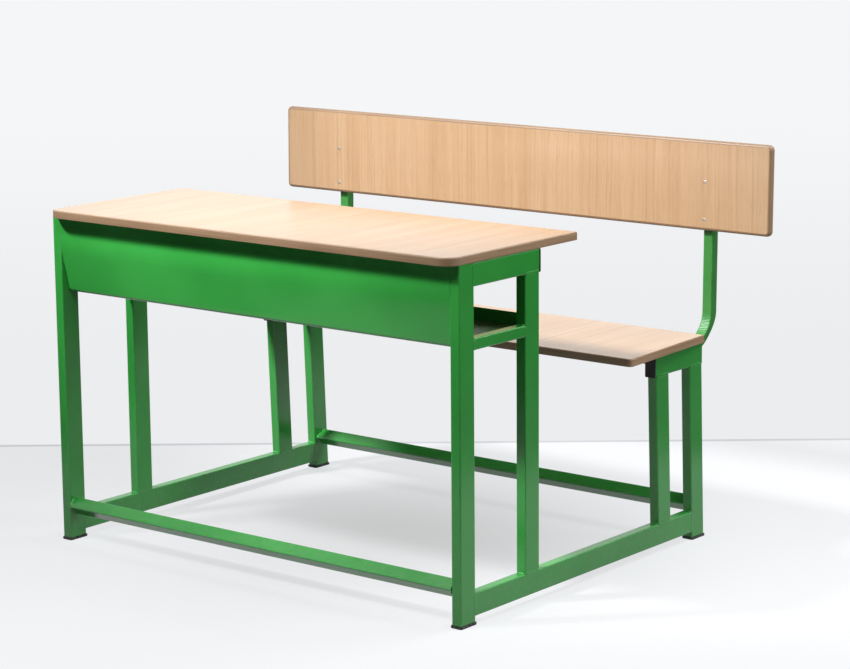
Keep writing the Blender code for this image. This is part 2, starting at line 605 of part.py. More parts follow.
def add_screws_from_below(parent, zinc, desktop, seat, tray, rails, tubes):
    """Pan-head screws up through rails, top fold and bent tubes into the desktop and the seat board."""
    reach = TUBE_WALL + CUT_OVERRUN
    access = [(ACCESS_HOLE_RADIUS, -reach), (ACCESS_HOLE_RADIUS, reach)]
    for side, sign in SIDES:
        for spot_name, y in (("front", DESK_SCREW_FRONT), ("rear", DESK_SCREW_FRONT + DESK_SCREW_SPACING)):
            name = "desktop_screw_" + side + "_" + spot_name
            spot = (sign * SIDE_TUBE_X, y, DESK_RAIL_TOP - TUBE_WALL - GAP)
            add_pan_screw(name, parent, zinc, spot, TUBE_WALL, (rails[side], desktop))
            low = (sign * SIDE_TUBE_X, y, DESK_RAIL_BOTTOM)
            cut(rails[side], turned_cutter(name + "_access", access, parent, low))
        for spot_name, y in (("front", SEAT_SCREW_FRONT), ("rear", SEAT_SCREW_FRONT + SEAT_SCREW_SPACING)):
            name = "seat_screw_" + side + "_" + spot_name
            spot = (sign * BACK_TUBE_X, y, BACK_TUBE_UNDERSIDE - GAP)
            add_pan_screw(name, parent, zinc, spot, BACK_TUBE_SIZE, (tubes[side], seat))
    fold_middle = FRONT_LEG_SETBACK + TRAY_TOP_FOLD / 2
    outermost = FRAME_INSIDE - TRAY_SCREW_INSET
    for spot_name, place_along in (("left", -1), ("middle", 0), ("right", 1)):
        name = "tray_screw_" + spot_name
        spot = (place_along * outermost, fold_middle, DESKTOP_UNDERSIDE - SHEET_THICKNESS - 2 * GAP)
        add_pan_screw(name, parent, zinc, spot, SHEET_THICKNESS, (tray, desktop))


def add_pan_screw(name, parent, zinc, spot, thickness, pierced):
    """A screw up through a thickness of steel into a board, and its holes in the pieces it pierces."""
    length = thickness + 2 * GAP + SCREW_BITE
    place(name, pan_screw(name, length), zinc, parent, spot)
    radius = SCREW_RADIUS + GAP
    hole = turned_cutter(name + "_hole", [(radius, -GAP / 2), (radius, length + GAP)], parent, spot)
    for piece in pierced:
        cut(piece, hole)


def build():
    clear_scene()
    paint = material("green_enamel", (0.03, 0.25, 0.045), 0.3)
    laminate = material("beech_laminate", (0.78, 0.55, 0.34), 0.45)
    plastic = material("black_plastic", (0.012, 0.012, 0.013), 0.5)
    zinc = material("zinc_steel", (0.55, 0.56, 0.58), 0.35, 1.0)
    centre = bpy.data.objects.new("bench_centre", None)
    centre.location = (0, -OVERALL_DEPTH / 2, 0)
    bpy.context.scene.collection.objects.link(centre)
    add_legs(centre, paint, plastic)
    rails = add_rails(centre, paint, plastic)
    add_bars(centre, paint)
    tubes = add_back_tubes(centre, paint, plastic)
    tray = add_book_tray(centre, paint)
    desktop, seat, backrest = add_boards(centre, laminate)
    add_backrest_screws(centre, zinc, backrest, tubes)
    add_screws_from_below(centre, zinc, desktop, seat, tray, rails, tubes)


build()
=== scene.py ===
"""The looks of the two-seat school desk and bench: finishes, finer surfaces, floor, light and camera.

Metres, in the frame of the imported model: X runs along the bench, Y from the desk to the backrest, Z up, and
the origin is on the floor under the middle. Left is the side at negative X. Every piece is worked out from
the box of the solid that it stands for.
"""
from math import cos, pi, radians, sin, tan

import bpy
import numpy as np
from mathutils import Matrix, Vector


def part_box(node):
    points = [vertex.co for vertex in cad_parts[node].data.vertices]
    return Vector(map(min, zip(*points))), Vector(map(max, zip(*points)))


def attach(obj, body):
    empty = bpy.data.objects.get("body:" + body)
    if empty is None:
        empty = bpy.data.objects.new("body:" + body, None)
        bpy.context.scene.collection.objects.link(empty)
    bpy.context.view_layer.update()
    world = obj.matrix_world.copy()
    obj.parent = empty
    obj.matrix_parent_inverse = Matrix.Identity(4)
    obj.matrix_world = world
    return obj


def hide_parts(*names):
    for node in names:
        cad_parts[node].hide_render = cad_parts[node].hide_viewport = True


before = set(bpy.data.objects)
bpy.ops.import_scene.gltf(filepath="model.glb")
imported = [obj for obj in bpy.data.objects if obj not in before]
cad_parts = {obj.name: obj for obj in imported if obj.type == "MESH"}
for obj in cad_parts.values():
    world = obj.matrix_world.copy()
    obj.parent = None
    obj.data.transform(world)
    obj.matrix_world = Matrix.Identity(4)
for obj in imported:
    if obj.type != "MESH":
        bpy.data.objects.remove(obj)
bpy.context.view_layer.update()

# Camera, its turns in radians and its lens in millimetres
CAMERA_PLACE = (3.8907, -4.7163, 1.6802)
CAMERA_YAW = 0.67608
CAMERA_PITCH = 0.19360
CAMERA_ROLL = -0.00841
CAMERA_LENS = 112.99
SENSOR_WIDTH = 36.0

# Floor, and the paler backdrop that begins behind the bench
FLOOR_REACH = 40.0
FLOOR_TONE = (0.875, 0.883, 0.900)
FLOOR_DEEP = (0.790, 0.800, 0.818)
# Painted shadow: the floor's tone darkened under the bench, and how far out it reaches
FLOOR_PAINTED_SHADOW = (0.610, 0.616, 0.622)
PAINTED_SHADOW_REACH = 0.95
FLOOR_NEAR = -0.9
# The backdrop is painted darker near its foot, as painted shade, and paler far off
BACKDROP_FOOT_SHADE = (0.835, 0.845, 0.860)
BACKDROP_FAR = (0.915, 0.922, 0.940)
# Painted shade: the thin dark line where the backdrop meets the floor
LINE_SHADE = (0.45, 0.47, 0.50)
LINE_SHARE = 0.60
BLACK = (0.0, 0.0, 0.0)
BACKDROP_NORMAL = (-0.6238, 0.7816, 0.0)
BACKDROP_DISTANCE = 0.933
BACKDROP_DEPTH = 9.0
BACKDROP_BLEND = 0.02
BACKDROP_LINE = 0.014
FLOOR_GLOW = 0.90
FLOOR_SHADING = 0.24
FLOOR_BOUNCE = 0.25
GLEAM_CENTRE = (-0.10, 0.0, 0.0)
GLEAM_REACH = 1.40
GLEAM_BLEND = 0.35

# Soft lamps: name, place, size, watts and what they face
LAMPS = (
    ("near front", (0.15, -1.40, 1.95), 0.40, 12.0, (0.10, -0.30, 0.60)),
    ("above", (1.20, -0.10, 2.80), 1.50, 11.0, (0.40, -0.20, 0.60)),
    ("rear right", (1.60, 1.60, 3.00), 1.50, 52.0, (0.30, 0.0, 0.45)),
    ("right side", (3.40, -0.10, 1.60), 1.60, 27.0, (0.30, 0.0, 0.45)),
    ("low front", (-1.00, -4.00, 1.20), 1.40, 4.5, (0.0, 0.0, 0.60)),
)

# The main lamp: a soft round beam from high on the left, whose lower edge falls just under the book tray
BEAM_PLACE = (-1.60, -2.60, 3.90)
BEAM_TARGET = (0.0, 0.35, 0.70)
BEAM_ANGLE = radians(24.5)
BEAM_SOFTNESS = 0.12
BEAM_RADIUS = 0.40
BEAM_POWER = 1460.0

# Sky
SKY_COLOUR = (1.0, 1.0, 1.0, 1.0)
SKY_STRENGTH = 0.03

# Linear colours
ENAMEL_DEEP = (0.034, 0.340, 0.051)
ENAMEL_LIGHT = (0.044, 0.391, 0.062)
# The back tubes' enamel: a darker copy of the green enamel, as painted shade
BACK_TUBE_SHADE_DEEP = (0.032, 0.197, 0.035)
BACK_TUBE_SHADE_LIGHT = (0.039, 0.235, 0.042)
ENAMEL_FLECK = (0.066, 0.445, 0.094)
# Edge colour: edge wear, and a painted highlight along the tubes' corners
ENAMEL_EDGE_WEAR_AND_HIGHLIGHT = (0.095, 0.504, 0.132)
ENAMEL_SCUFF = (0.022, 0.250, 0.036)
DUST = (0.33, 0.32, 0.29)
WOOD_LIGHT = (0.544, 0.362, 0.221)
WOOD_DEEP = (0.507, 0.324, 0.188)
WOOD_STREAK = (0.400, 0.236, 0.120)
WOOD_PORE = (0.279, 0.155, 0.073)
EDGE_LIGHT = (0.307, 0.198, 0.115)
EDGE_DEEP = (0.228, 0.139, 0.078)
EDGE_FIBRE = (0.148, 0.081, 0.043)
EDGE_RIM = (0.214, 0.121, 0.067)
# Painted light: how much paler the edge bands at a board's ends are drawn
EDGE_END_PAINTED_LIGHT = (1.50, 1.52, 1.55)
PLASTIC_DEEP = (0.006, 0.006, 0.006)
PLASTIC_LIGHT = (0.012, 0.012, 0.012)
ZINC_LIGHT = (0.78, 0.79, 0.80)
ZINC_DEEP = (0.60, 0.62, 0.64)
# Painted shade: the near-black down in a screw's cross recess
ZINC_RECESS_SHADE = (0.05, 0.05, 0.05)

# Patterns: cells per metre, detail, roughness, and how far they are drawn out along X, Y and Z
EVEN = (1.0, 1.0, 1.0)
ENAMEL_CLOUDS = (4.0, 4.0, 0.5, EVEN)
FLECKS = (220.0, 2.0, 0.5, EVEN)
EDGE_WEAR = (34.0, 5.0, 0.6, EVEN)
LOW_DUST = (48.0, 6.0, 0.7, EVEN)
TRAY_DUST = (9.0, 6.0, 0.5, EVEN)
SCUFFS = (26.0, 8.0, 0.72, (1.0, 0.25, 0.6))
ENAMEL_SWELLS = (7.0, 1.0, 0.5, EVEN)
ORANGE_PEEL = (420.0, 2.0, 0.5, EVEN)
GRAIN_WARP = (1.6, 2.0, 0.5, EVEN)
BROAD_GRAIN = (26.0, 3.0, 0.55, (1.0, 22.0, 22.0))
NARROW_GRAIN = (140.0, 4.0, 0.65, (1.0, 60.0, 60.0))
PORES = (900.0, 2.0, 0.6, (1.0, 40.0, 40.0))
WIPED_MARKS = (9.0, 5.0, 0.6, (1.0, 2.0, 1.0))
FILM_SWELLS = (5.0, 1.0, 0.5, EVEN)
FILM_TOOTH = (600.0, 3.0, 0.5, EVEN)
PLIES = (22.0, 2.0, 0.5, (4.0, 4.0, 1.0))
FIBRES = (260.0, 4.0, 0.7, (6.0, 6.0, 1.0))
RUBBED_SPOTS = (30.0, 4.0, 0.5, EVEN)
SOLE_DUST = (160.0, 5.0, 0.5, EVEN)
MOULD_GRAIN = (1500.0, 2.0, 0.5, EVEN)
ZINC_CLOUDS = (500.0, 4.0, 0.5, EVEN)
BRUSHING = (2600.0, 3.0, 0.5, (1.0, 1.0, 4.0))
FLOOR_CLOUDS = (0.8, 2.0, 0.5, EVEN)

# Ramps: between which two values a pattern comes in, and what it is carried to
SPREAD = (0.3, 0.7)
WHOLE = (0.0, 1.0)
FLECK_RAMP = ((0.55, 0.85), (0.0, 0.16))
EDGE_WEAR_RAMP = ((0.35, 0.75), (0.1, 0.5))
LOW_DUST_RAMP = ((0.4, 0.8), (0.0, 0.20))
TRAY_DUST_RAMP = (SPREAD, (0.35, 0.75))
SCUFF_RAMP = ((0.66, 0.74), (0.0, 0.5))
BROAD_GRAIN_RAMP = ((0.32, 0.68), WHOLE)
NARROW_GRAIN_RAMP = ((0.46, 0.72), (0.0, 0.52))
PORE_RAMP = ((0.55, 0.75), (0.0, 0.42))
DULL_PORE_RAMP = ((0.6, 0.8), (0.0, 0.1))
PLY_RAMP = ((0.35, 0.65), WHOLE)
FIBRE_RAMP = ((0.48, 0.75), (0.0, 0.5))
RIM_RAMP = ((0.80, 1.0), (0.0, 0.35))
BOARD_END_RAMP = ((0.5, 0.95), WHOLE)
SOLE_DUST_RAMP = ((0.35, 0.75), (0.0, 0.5))
RUBBED_RAMP = (0.35, 0.65)
FLOOR_CLOUD_RAMP = (SPREAD, (-0.08, 0.08))

# Roughness from and to, and how much a finish mirrors head on
ENAMEL_ROUGHNESS = (0.17, 0.25)
BENT_ROUGHNESS = (0.38, 0.50)
LAMINATE_ROUGHNESS = (0.12, 0.20)
EDGE_ROUGHNESS = (0.36, 0.54)
PLASTIC_ROUGHNESS = (0.38, 0.55)
ZINC_ROUGHNESS = (0.26, 0.42)
ZINC_METAL = (1.0, 0.4)
DULLING = 0.35
LAMINATE_MIRROR = 0.80
EDGE_MIRROR = 0.55
PLASTIC_MIRROR = 0.25

# Relief in metres, one value for each height that a finish stacks up
ENAMEL_RELIEF = (0.0011, 0.00006, -0.00002)
LAMINATE_RELIEF = (0.0002, -0.00003, 0.00001)
EDGE_RELIEF = (0.00012, 0.0001)
PLASTIC_RELIEF = (0.00006, 0.0002)
ZINC_RELIEF = (0.00002, 0.00003)

# Reach of the dust over the floor, of the grain's warp, and of the plies' pattern across an edge
LOW_DUST_HEIGHT = 0.16
SOLE_DUST_HEIGHT = 0.012
WARP_REACH = 0.02
PLY_REACH = 0.45

# Steel tubes
TUBE_DEPTH = 0.050
TUBE_CORNER = 0.0028
BAR_SIZE = 0.030
RAKE = 0.040
LEAN = 0.015
BACK_TUBE_SIZE = 0.025
BEND_RADIUS = 0.060
BEND_FLATTENING = 0.007
WRINKLE_DEPTH = 0.00030
WRINKLES = 13.5
WRINKLE_SLANT = 2.4
WRINKLE_FALL = 3
FINE_WRINKLES = 1.7
FINE_WRINKLE_SHARE = 0.5
SIDE_BULGE = 0.0006

# Boards: corners from the rear right by the rear left to the front right, and trims at left and right
BOARD_THICKNESS = 0.018
BOARD_ROUNDING = 0.003
UNDER_ROUNDING = 0.001
DESKTOP_CORNERS = (0.004, 0.004, 0.030, 0.038)
DESKTOP_TRIMS = (0.017, 0.0)
SEAT_CORNERS = (0.004, 0.004, 0.012, 0.012)
SEAT_SPLAY = 0.024
BACKREST_CORNERS = (0.012, 0.012, 0.012, 0.012)
BACKREST_ROUNDING = 0.007
UNTRIMMED = (0.0, 0.0)

# Book tray, one folded sheet whose bends go from the top fold down the front and back to the lip
SHEET = 0.0012
SEAM = 0.0008
TRAY_TOP_FOLD = 0.022
TRAY_PLUMB_HEIGHT = 0.070
TRAY_LEAN_IN = 0.018
TRAY_LIP_HEIGHT = 0.034
TRAY_BENDS = (0.003, 0.250, 0.009, 0.004)
TRAY_STEP = 0.012
TRAY_WAVE = 0.0004
TRAY_WAVE_LENGTH = 0.62
TRAY_WAVE_START = 0.7

# Plastic plugs and feet
PLUG_THICKNESS = 0.004
PLUG_ROUNDING = 0.0012
PLUG_SPIGOT = 0.012
PLUG_WALL = 0.0018
PLUG_DISH = 0.0006
FOOT_HEIGHT = 0.006
FOOT_OVERHANG = 0.003
FOOT_ROUNDING = 0.0015

# Screws
SUNK_RADIUS = 0.0045
SUNK_FOOT_SHARE = 0.96
SUNK_CROWN_SHARE = 0.97
HEAD_RISE = 0.00015
PAN_RADIUS = 0.0047
PAN_HEIGHT = 0.003
SHANK_RADIUS = 0.0024
TIP_RADIUS = SHANK_RADIUS / 8
RECESS_WIDTH = 0.0008
RECESS_REACH = 0.0025
RECESS_DEPTH = 0.0013
RECESS_SLOPE = 0.0004
RECESS_RINGS = 14

# Weld beads, and the shares of a seam's length at which a row of short ones lies
BEAD = 0.0030
BEAD_FULLNESS = 1.5
FLAT_BEAD = 0.0038
FLAT_BEAD_RISE = 0.0005
FLAT_BEAD_FULLNESS = 0.8
BEAD_STEP = 0.0006
BEAD_PITCH = 0.0021
BEAD_BOW = 0.6
BEAD_RIPPLE = 0.12
BEAD_VALLEY = 0.6
BEAD_DRIFT = 0.10
BEAD_DRIFTS = 9
BEAD_TIP = 0.02
# How much of the enamel's lighter edge, wear and painted highlight, the beads take
BEAD_WEAR = 0.35
STITCH = 0.022
BACK_TUBE_STITCHES = (0.12, 0.5, 0.88)
TRAY_STITCHES = (0.08, 0.45, 0.85)

# Fineness; a shoulder is the short flat step beside a rounding
SHOULDER = 0.0005
FINE_SHOULDER = SHOULDER / 4
CORNER_STEPS = 6
SIDE_STEPS = 10
BEND_STEPS = 96
FOLD_STEPS = 8
PLAN_STEPS = 14
EDGE_STEPS = 8
TURN_STEPS = 48
BEAD_STEPS = 7
FLAT_BEAD_STEPS = 11
BEAD_LEAST_STEPS = 12
SHARP_EDGE = radians(38.0)
SHARP_BEAD = radians(70.0)
SEED = 7

SIDES = (("left", -1), ("right", 1))
X, Y, Z = np.eye(3)
random = np.random.default_rng(SEED)


def box(node):
    """The low and the high corner of a solid's box."""
    low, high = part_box(node)
    return np.array(low), np.array(high)


# Shapes

def rounded_outline(width, depth, corner, steps=CORNER_STEPS, shoulder=SHOULDER):
    """A rectangle with rounded corners about zero, anticlockwise, and a wear mark for each of its points.

    Corner k has its centre at (sx (w/2 - r), sy (d/2 - r)) and its points at angles from 90 k to 90 (k + 1)
    degrees. A point a shoulder before and after each arc keeps the flats flat when shaded. The mark rises
    from 0 to 1 and falls again round each arc, as a sine. corner is one radius, or four from (+, +) on.
    """
    radii = np.broadcast_to(np.asarray(corner, float), 4)
    signs = np.array([(1, 1), (-1, 1), (-1, -1), (1, -1)])
    centres = signs * (np.array([width, depth]) / 2 - radii[:, None])
    angles = pi / 2 * (np.arange(4)[:, None] + np.linspace(0, 1, steps + 1))
    spokes = np.stack([np.cos(angles), np.sin(angles)], -1)
    arcs = centres[:, None] + radii[:, None, None] * spokes
    along = np.stack([-spokes[..., 1], spokes[..., 0]], -1)
    before = arcs[:, :1] - shoulder * along[:, :1]
    after = arcs[:, -1:] + shoulder * along[:, -1:]
    wear = np.zeros((4, steps + 3))
    wear[:, 1:-1] = np.sin(np.linspace(0, pi, steps + 1))
    return np.concatenate([before, arcs, after], 1).reshape(-1, 2), wear.ravel()


def subdivided(outline, wear, step):
    """The outline with its long sides cut into pieces no longer than the step."""
    ahead = np.roll(outline, -1, 0)
    counts = np.maximum(np.ceil(np.linalg.norm(ahead - outline, axis=1) / step).astype(int), 1)
    index = np.repeat(np.arange(len(outline)), counts)
    share = (np.arange(len(index)) - np.repeat(np.cumsum(counts) - counts, counts)) / counts[index]
    points = outline[index] + share[:, None] * (ahead - outline)[index]
    return points, wear[index] + share * (np.roll(wear, -1) - wear)[index]


def quarter(radius):
    """A quarter round as (inset, depth below the top) rows, from the wall to the top."""
    angles = np.linspace(0, pi / 2, EDGE_STEPS + 1)
    return [(radius * (1 - cos(t)), radius * (1 - sin(t))) for t in angles]


def grid_faces(rows, columns):
    """Quads between neighbouring rows of points, whose last column joins the first."""
    start = np.arange(rows - 1)[:, None] * columns
    here = start + np.arange(columns)
    ahead = start + (np.arange(columns) + 1) % columns
    return np.stack([here, ahead, ahead + columns, here + columns], -1).reshape(-1, 4)


def facing(ring):
    """Twice the area vector of a ring: the sum of the cross products of neighbouring points."""
    arm = ring - ring.mean(0)
    return np.cross(arm, np.roll(arm, -1, 0)).sum(0)


def loft(rings, wear):
    """A closed body through rings (n, m, 3), its two ends filled by flat faces, all facing outwards."""
    rings = np.asarray(rings, float)
    wear = np.broadcast_to(wear, rings.shape[:2])
    if facing(rings[0]) @ (rings[1:].mean((0, 1)) - rings[0].mean(0)) < 0:
        rings, wear = rings[:, ::-1], wear[:, ::-1]
    rows, columns = rings.shape[:2]
    last = (rows - 1) * columns
    faces = grid_faces(rows, columns).tolist()
    faces += [list(range(columns))[::-1], list(range(last, last + columns))]
    return rings.reshape(-1, 3), faces, wear.ravel()


def stepped(middle, side, up, out, width, depth, corner, rows, slope=0.0):
    """A closed body of rounded rectangles, one for each (inset, height along out) row.

    The slope slides them along up, by so much for each metre of height.
    """
    rings = []
    for inset, height in rows:
        radius = max(corner - inset, SHOULDER)
        flat, _ = rounded_outline(width - 2 * inset, depth - 2 * inset, radius, shoulder=FINE_SHOULDER)
        rings.append(middle + flat[:, :1] * side + (flat[:, 1:] + slope * height) * up + height * out)
    return loft(rings, 0.0)


def merge(bodies):
    """One body's points, faces and wear from several."""
    faces, start = [], 0
    for points, body_faces, _ in bodies:
        faces += [[start + k for k in face] for face in body_faces]
        start += len(points)
    return np.concatenate([b[0] for b in bodies]), faces, np.concatenate([b[2] for b in bodies])


def make_piece(name, body, finishes, nodes=(), kinds=None, sharp=SHARP_EDGE):
    """A piece with its finishes and its wear marks, riding on the frame and standing for its nodes."""
    points, faces, wear = body
    mesh = bpy.data.meshes.new(name)
    mesh.from_pydata(points.tolist(), [], faces)
    mesh.attributes.new("wear", "FLOAT", "POINT").data.foreach_set("value", wear.astype(np.float32))
    for finish in finishes:
        mesh.materials.append(finish)
    if kinds is not None:
        mesh.polygons.foreach_set("material_index", kinds)
    mesh.shade_smooth()
    mesh.set_sharp_from_angle(angle=sharp)
    mesh.update()
    piece = bpy.data.objects.new(name, mesh)
    bpy.context.scene.collection.objects.link(piece)
    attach(piece, "root")
    if nodes:
        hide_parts(*nodes)
    return piece


# Steel tubes

def tube(start, end, side, width, depth, cuts=(0.0, 0.0)):
    """The outside of a rectangular tube from start to end, its width along side.

    A ring's point is the axis point + side x + up y, moved along the axis by its end's cut times y, where
    up is square to the axis and the side.
    """
    axis = (end - start) / np.linalg.norm(end - start)
    up = np.cross(axis, side)
    flat, wear = rounded_outline(width, depth, TUBE_CORNER)
    across = flat[:, :1] * side + flat[:, 1:] * up
    first = start + across + flat[:, 1:] * cuts[0] * axis
    last = end + across + flat[:, 1:] * cuts[1] * axis
    hair = axis * SHOULDER
    return loft([first, first + hair, last - hair, last], wear)


def upright(node):
    """A plumb tube that fills its solid's box."""
    low, high = box(node)
    foot, head = (low + high) / 2, (low + high) / 2
    foot[2], head[2] = low[2], high[2]
    return tube(foot, head, X, high[0] - low[0], high[1] - low[1])


def raked_upright(node):
    """A tube whose top leans to the front by the rake, cut level at both ends."""
    low, high = box(node)
    reach = TUBE_DEPTH / cos(RAKE) / 2
    middle = (low[0] + high[0]) / 2
    foot = np.array([middle, high[1] - reach, low[2]])
    head = np.array([middle, low[1] + reach, high[2]])
    return tube(foot, head, X, high[0] - low[0], TUBE_DEPTH, (-tan(RAKE), -tan(RAKE)))


def rail(node, rear_rake=0.0):
    """A tube from front to rear that fills its solid's box, its rear end cut to the rake."""
    low, high = box(node)
    width, _, depth = high - low
    front, rear = (low + high) / 2, (low + high) / 2
    front[1] = low[1]
    rear[1] = high[1] - tan(rear_rake) * depth / 2
    return tube(front, rear, -X, width, depth, (0.0, -tan(rear_rake)))


def bar(node):
    """A square tube along X, laid on edge."""
    low, high = box(node)
    left, right = (low + high) / 2, (low + high) / 2
    left[0], right[0] = low[0], high[0]
    return tube(left, right, (Y + Z) / np.sqrt(2), BAR_SIZE, BAR_SIZE)


def wrinkles(x, y, share):
    """How far the bend's inner wall stands out: two slanted cosines of the bend's share, less one.

    They are full on the wall itself and die away towards the tube's middle by a power of y.
    """
    inner = np.clip(2 * y / BACK_TUBE_SIZE, 0, 1) ** WRINKLE_FALL
    slant = WRINKLE_SLANT * np.sin(x / BACK_TUBE_SIZE * pi)
    turns = 2 * pi * WRINKLES * share
    wave = np.cos(turns + slant) + FINE_WRINKLE_SHARE * np.cos(FINE_WRINKLES * turns - 2 * slant)
    return WRINKLE_DEPTH * inner * (wave - 1)


def back_tube(node):
    """A square tube that runs back, bends up and rises with a slight lean, wrinkled inside its bend.

    At a turn t of the bend, the tube's middle lies along (0, sin t, -cos t) from the bend's centre. q is
    sin^2 of pi times the share of the bend that is done. The outside is pressed in by q times the
    flattening, the sides bulge by q (1 - y^2), and the inner wall's wrinkles are taken q times.
    """
    low, high = box(node)
    centre_z = low[2] + BACK_TUBE_SIZE + BEND_RADIUS
    rise = (high[2] - centre_z + BEND_RADIUS * sin(LEAN)) / cos(LEAN)
    centre_y = high[1] - (BEND_RADIUS + BACK_TUBE_SIZE) * cos(LEAN) - rise * sin(LEAN)
    centre = np.array([(low[0] + high[0]) / 2, centre_y, centre_z])
    run = centre_y - low[1]
    share = np.concatenate([[0, 0], np.linspace(0, 1, BEND_STEPS), [1, 1]])
    ahead = np.concatenate([[-run, SHOULDER - run], np.zeros(BEND_STEPS), [rise - SHOULDER, rise]])
    turn = share * (pi / 2 - LEAN)
    out = np.outer(np.sin(turn), Y) - np.outer(np.cos(turn), Z)
    along = np.outer(np.cos(turn), Y) + np.outer(np.sin(turn), Z)
    q = (np.sin(pi * share) ** 2)[:, None]
    flat, wear = rounded_outline(BACK_TUBE_SIZE, BACK_TUBE_SIZE, TUBE_CORNER)
    flat, wear = subdivided(flat, wear, BACK_TUBE_SIZE / SIDE_STEPS)
    x, y = flat.T
    bulge = SIDE_BULGE * (1 - (2 * y / BACK_TUBE_SIZE) ** 2) * (np.abs(x) > BACK_TUBE_SIZE / 3)
    sideways = x + np.sign(x) * q * bulge
    upwards = y * (1 - q * BEND_FLATTENING / BACK_TUBE_SIZE) + q * wrinkles(x, y, share[:, None])
    middle = BEND_RADIUS + BACK_TUBE_SIZE / 2 - q * BEND_FLATTENING / 2
    rings = centre + ahead[:, None, None] * along[:, None] + (middle - upwards)[..., None] * out[:, None]
    return loft(rings - sideways[..., None] * X, wear)


# Plugs and feet

def plug_body(face, side, up, out, width, depth):
    """An end plug: a spigot in the tube, and a flange with a rounded rim and a dished face."""
    base = -PLUG_THICKNESS
    tip = base - PLUG_SPIGOT
    dish = PLUG_ROUNDING + PLUG_WALL
    rows = [(2 * PLUG_WALL, tip), (PLUG_WALL, tip + PLUG_WALL), (PLUG_WALL, base), (0.0, base)]
    rows += [(inset, -drop) for inset, drop in quarter(PLUG_ROUNDING)]
    rows += [(dish, 0.0), (dish + PLUG_DISH, -PLUG_DISH / 2), (dish + 2 * PLUG_DISH, -PLUG_DISH)]
    return stepped(face, side, up, out, width, depth, TUBE_CORNER, rows)


def level_plug(node, out):
    """The plug in the open end of a level tube, whose face looks along out."""
    low, high = box(node)
    face = (low + high) / 2
    face[1] = high[1] if out[1] > 0 else low[1]
    return plug_body(face, X, Z, out, high[0] - low[0], high[2] - low[2])


def top_plug(node):
    """The plug in the top of a leaning back tube."""
    low, high = box(node)
    out = sin(LEAN) * Y + cos(LEAN) * Z
    half = BACK_TUBE_SIZE / 2
    face = np.array([(low[0] + high[0]) / 2, high[1] - half * cos(LEAN), high[2] - half * sin(LEAN)])
    return plug_body(face, X, cos(LEAN) * Y - sin(LEAN) * Z, out, BACK_TUBE_SIZE, BACK_TUBE_SIZE)


def foot_body(node, rake):
    """A foot under a leg: a flange with a rounded sole and rim, and a spigot slanted by the leg's rake."""
    low, high = box(node)
    wide, deep = high[0] - low[0], TUBE_DEPTH + 2 * FOOT_OVERHANG
    middle = np.array([(low[0] + high[0]) / 2, high[1] - deep / 2, 0.0])
    rows = [(2 * FOOT_ROUNDING, 0.0)] + quarter(FOOT_ROUNDING)[::-1]
    rows += [(inset, FOOT_HEIGHT - drop) for inset, drop in quarter(FOOT_ROUNDING)]
    rows += [(FOOT_OVERHANG + PLUG_WALL, FOOT_HEIGHT), (FOOT_OVERHANG + PLUG_WALL, high[2])]
    return stepped(middle, X, Y, Z, wide, deep, TUBE_CORNER + FOOT_OVERHANG, rows, -tan(rake))


# Book tray

def folded_path(corners, radii):
    """Points of a path in the plane of Y and Z whose inner corners are arcs, with long flats cut short.

    An arc starts and ends radius * tan(half the turn) from its corner.
    """
    corners = [np.array(c) for c in corners]
    parts = [corners[0][None]]
    for before, corner, after, radius in zip(corners, corners[1:], corners[2:], radii):
        into = (corner - before) / np.linalg.norm(corner - before)
        out = (after - corner) / np.linalg.norm(after - corner)
        turn = np.arctan2(into[0] * out[1] - into[1] * out[0], into @ out)
        start = corner - into * radius * tan(abs(turn) / 2)
        left = np.array([-into[1], into[0]]) * np.sign(turn) * radius
        angles = np.linspace(0, turn, FOLD_STEPS + 1)[:, None]
        parts.append(start + left - left * np.cos(angles) + into * radius * np.sin(np.abs(angles)))
    parts.append(corners[-1][None])
    path = np.concatenate(parts)
    gaps = np.linalg.norm(np.diff(path, axis=0), axis=1)
    counts = np.maximum(np.round(gaps / TRAY_STEP).astype(int), 1)
    places = np.concatenate([k + np.arange(c) / c for k, c in enumerate(counts)] + [[len(gaps)]])
    return np.column_stack([np.interp(places, np.arange(len(path)), path[:, k]) for k in (0, 1)])


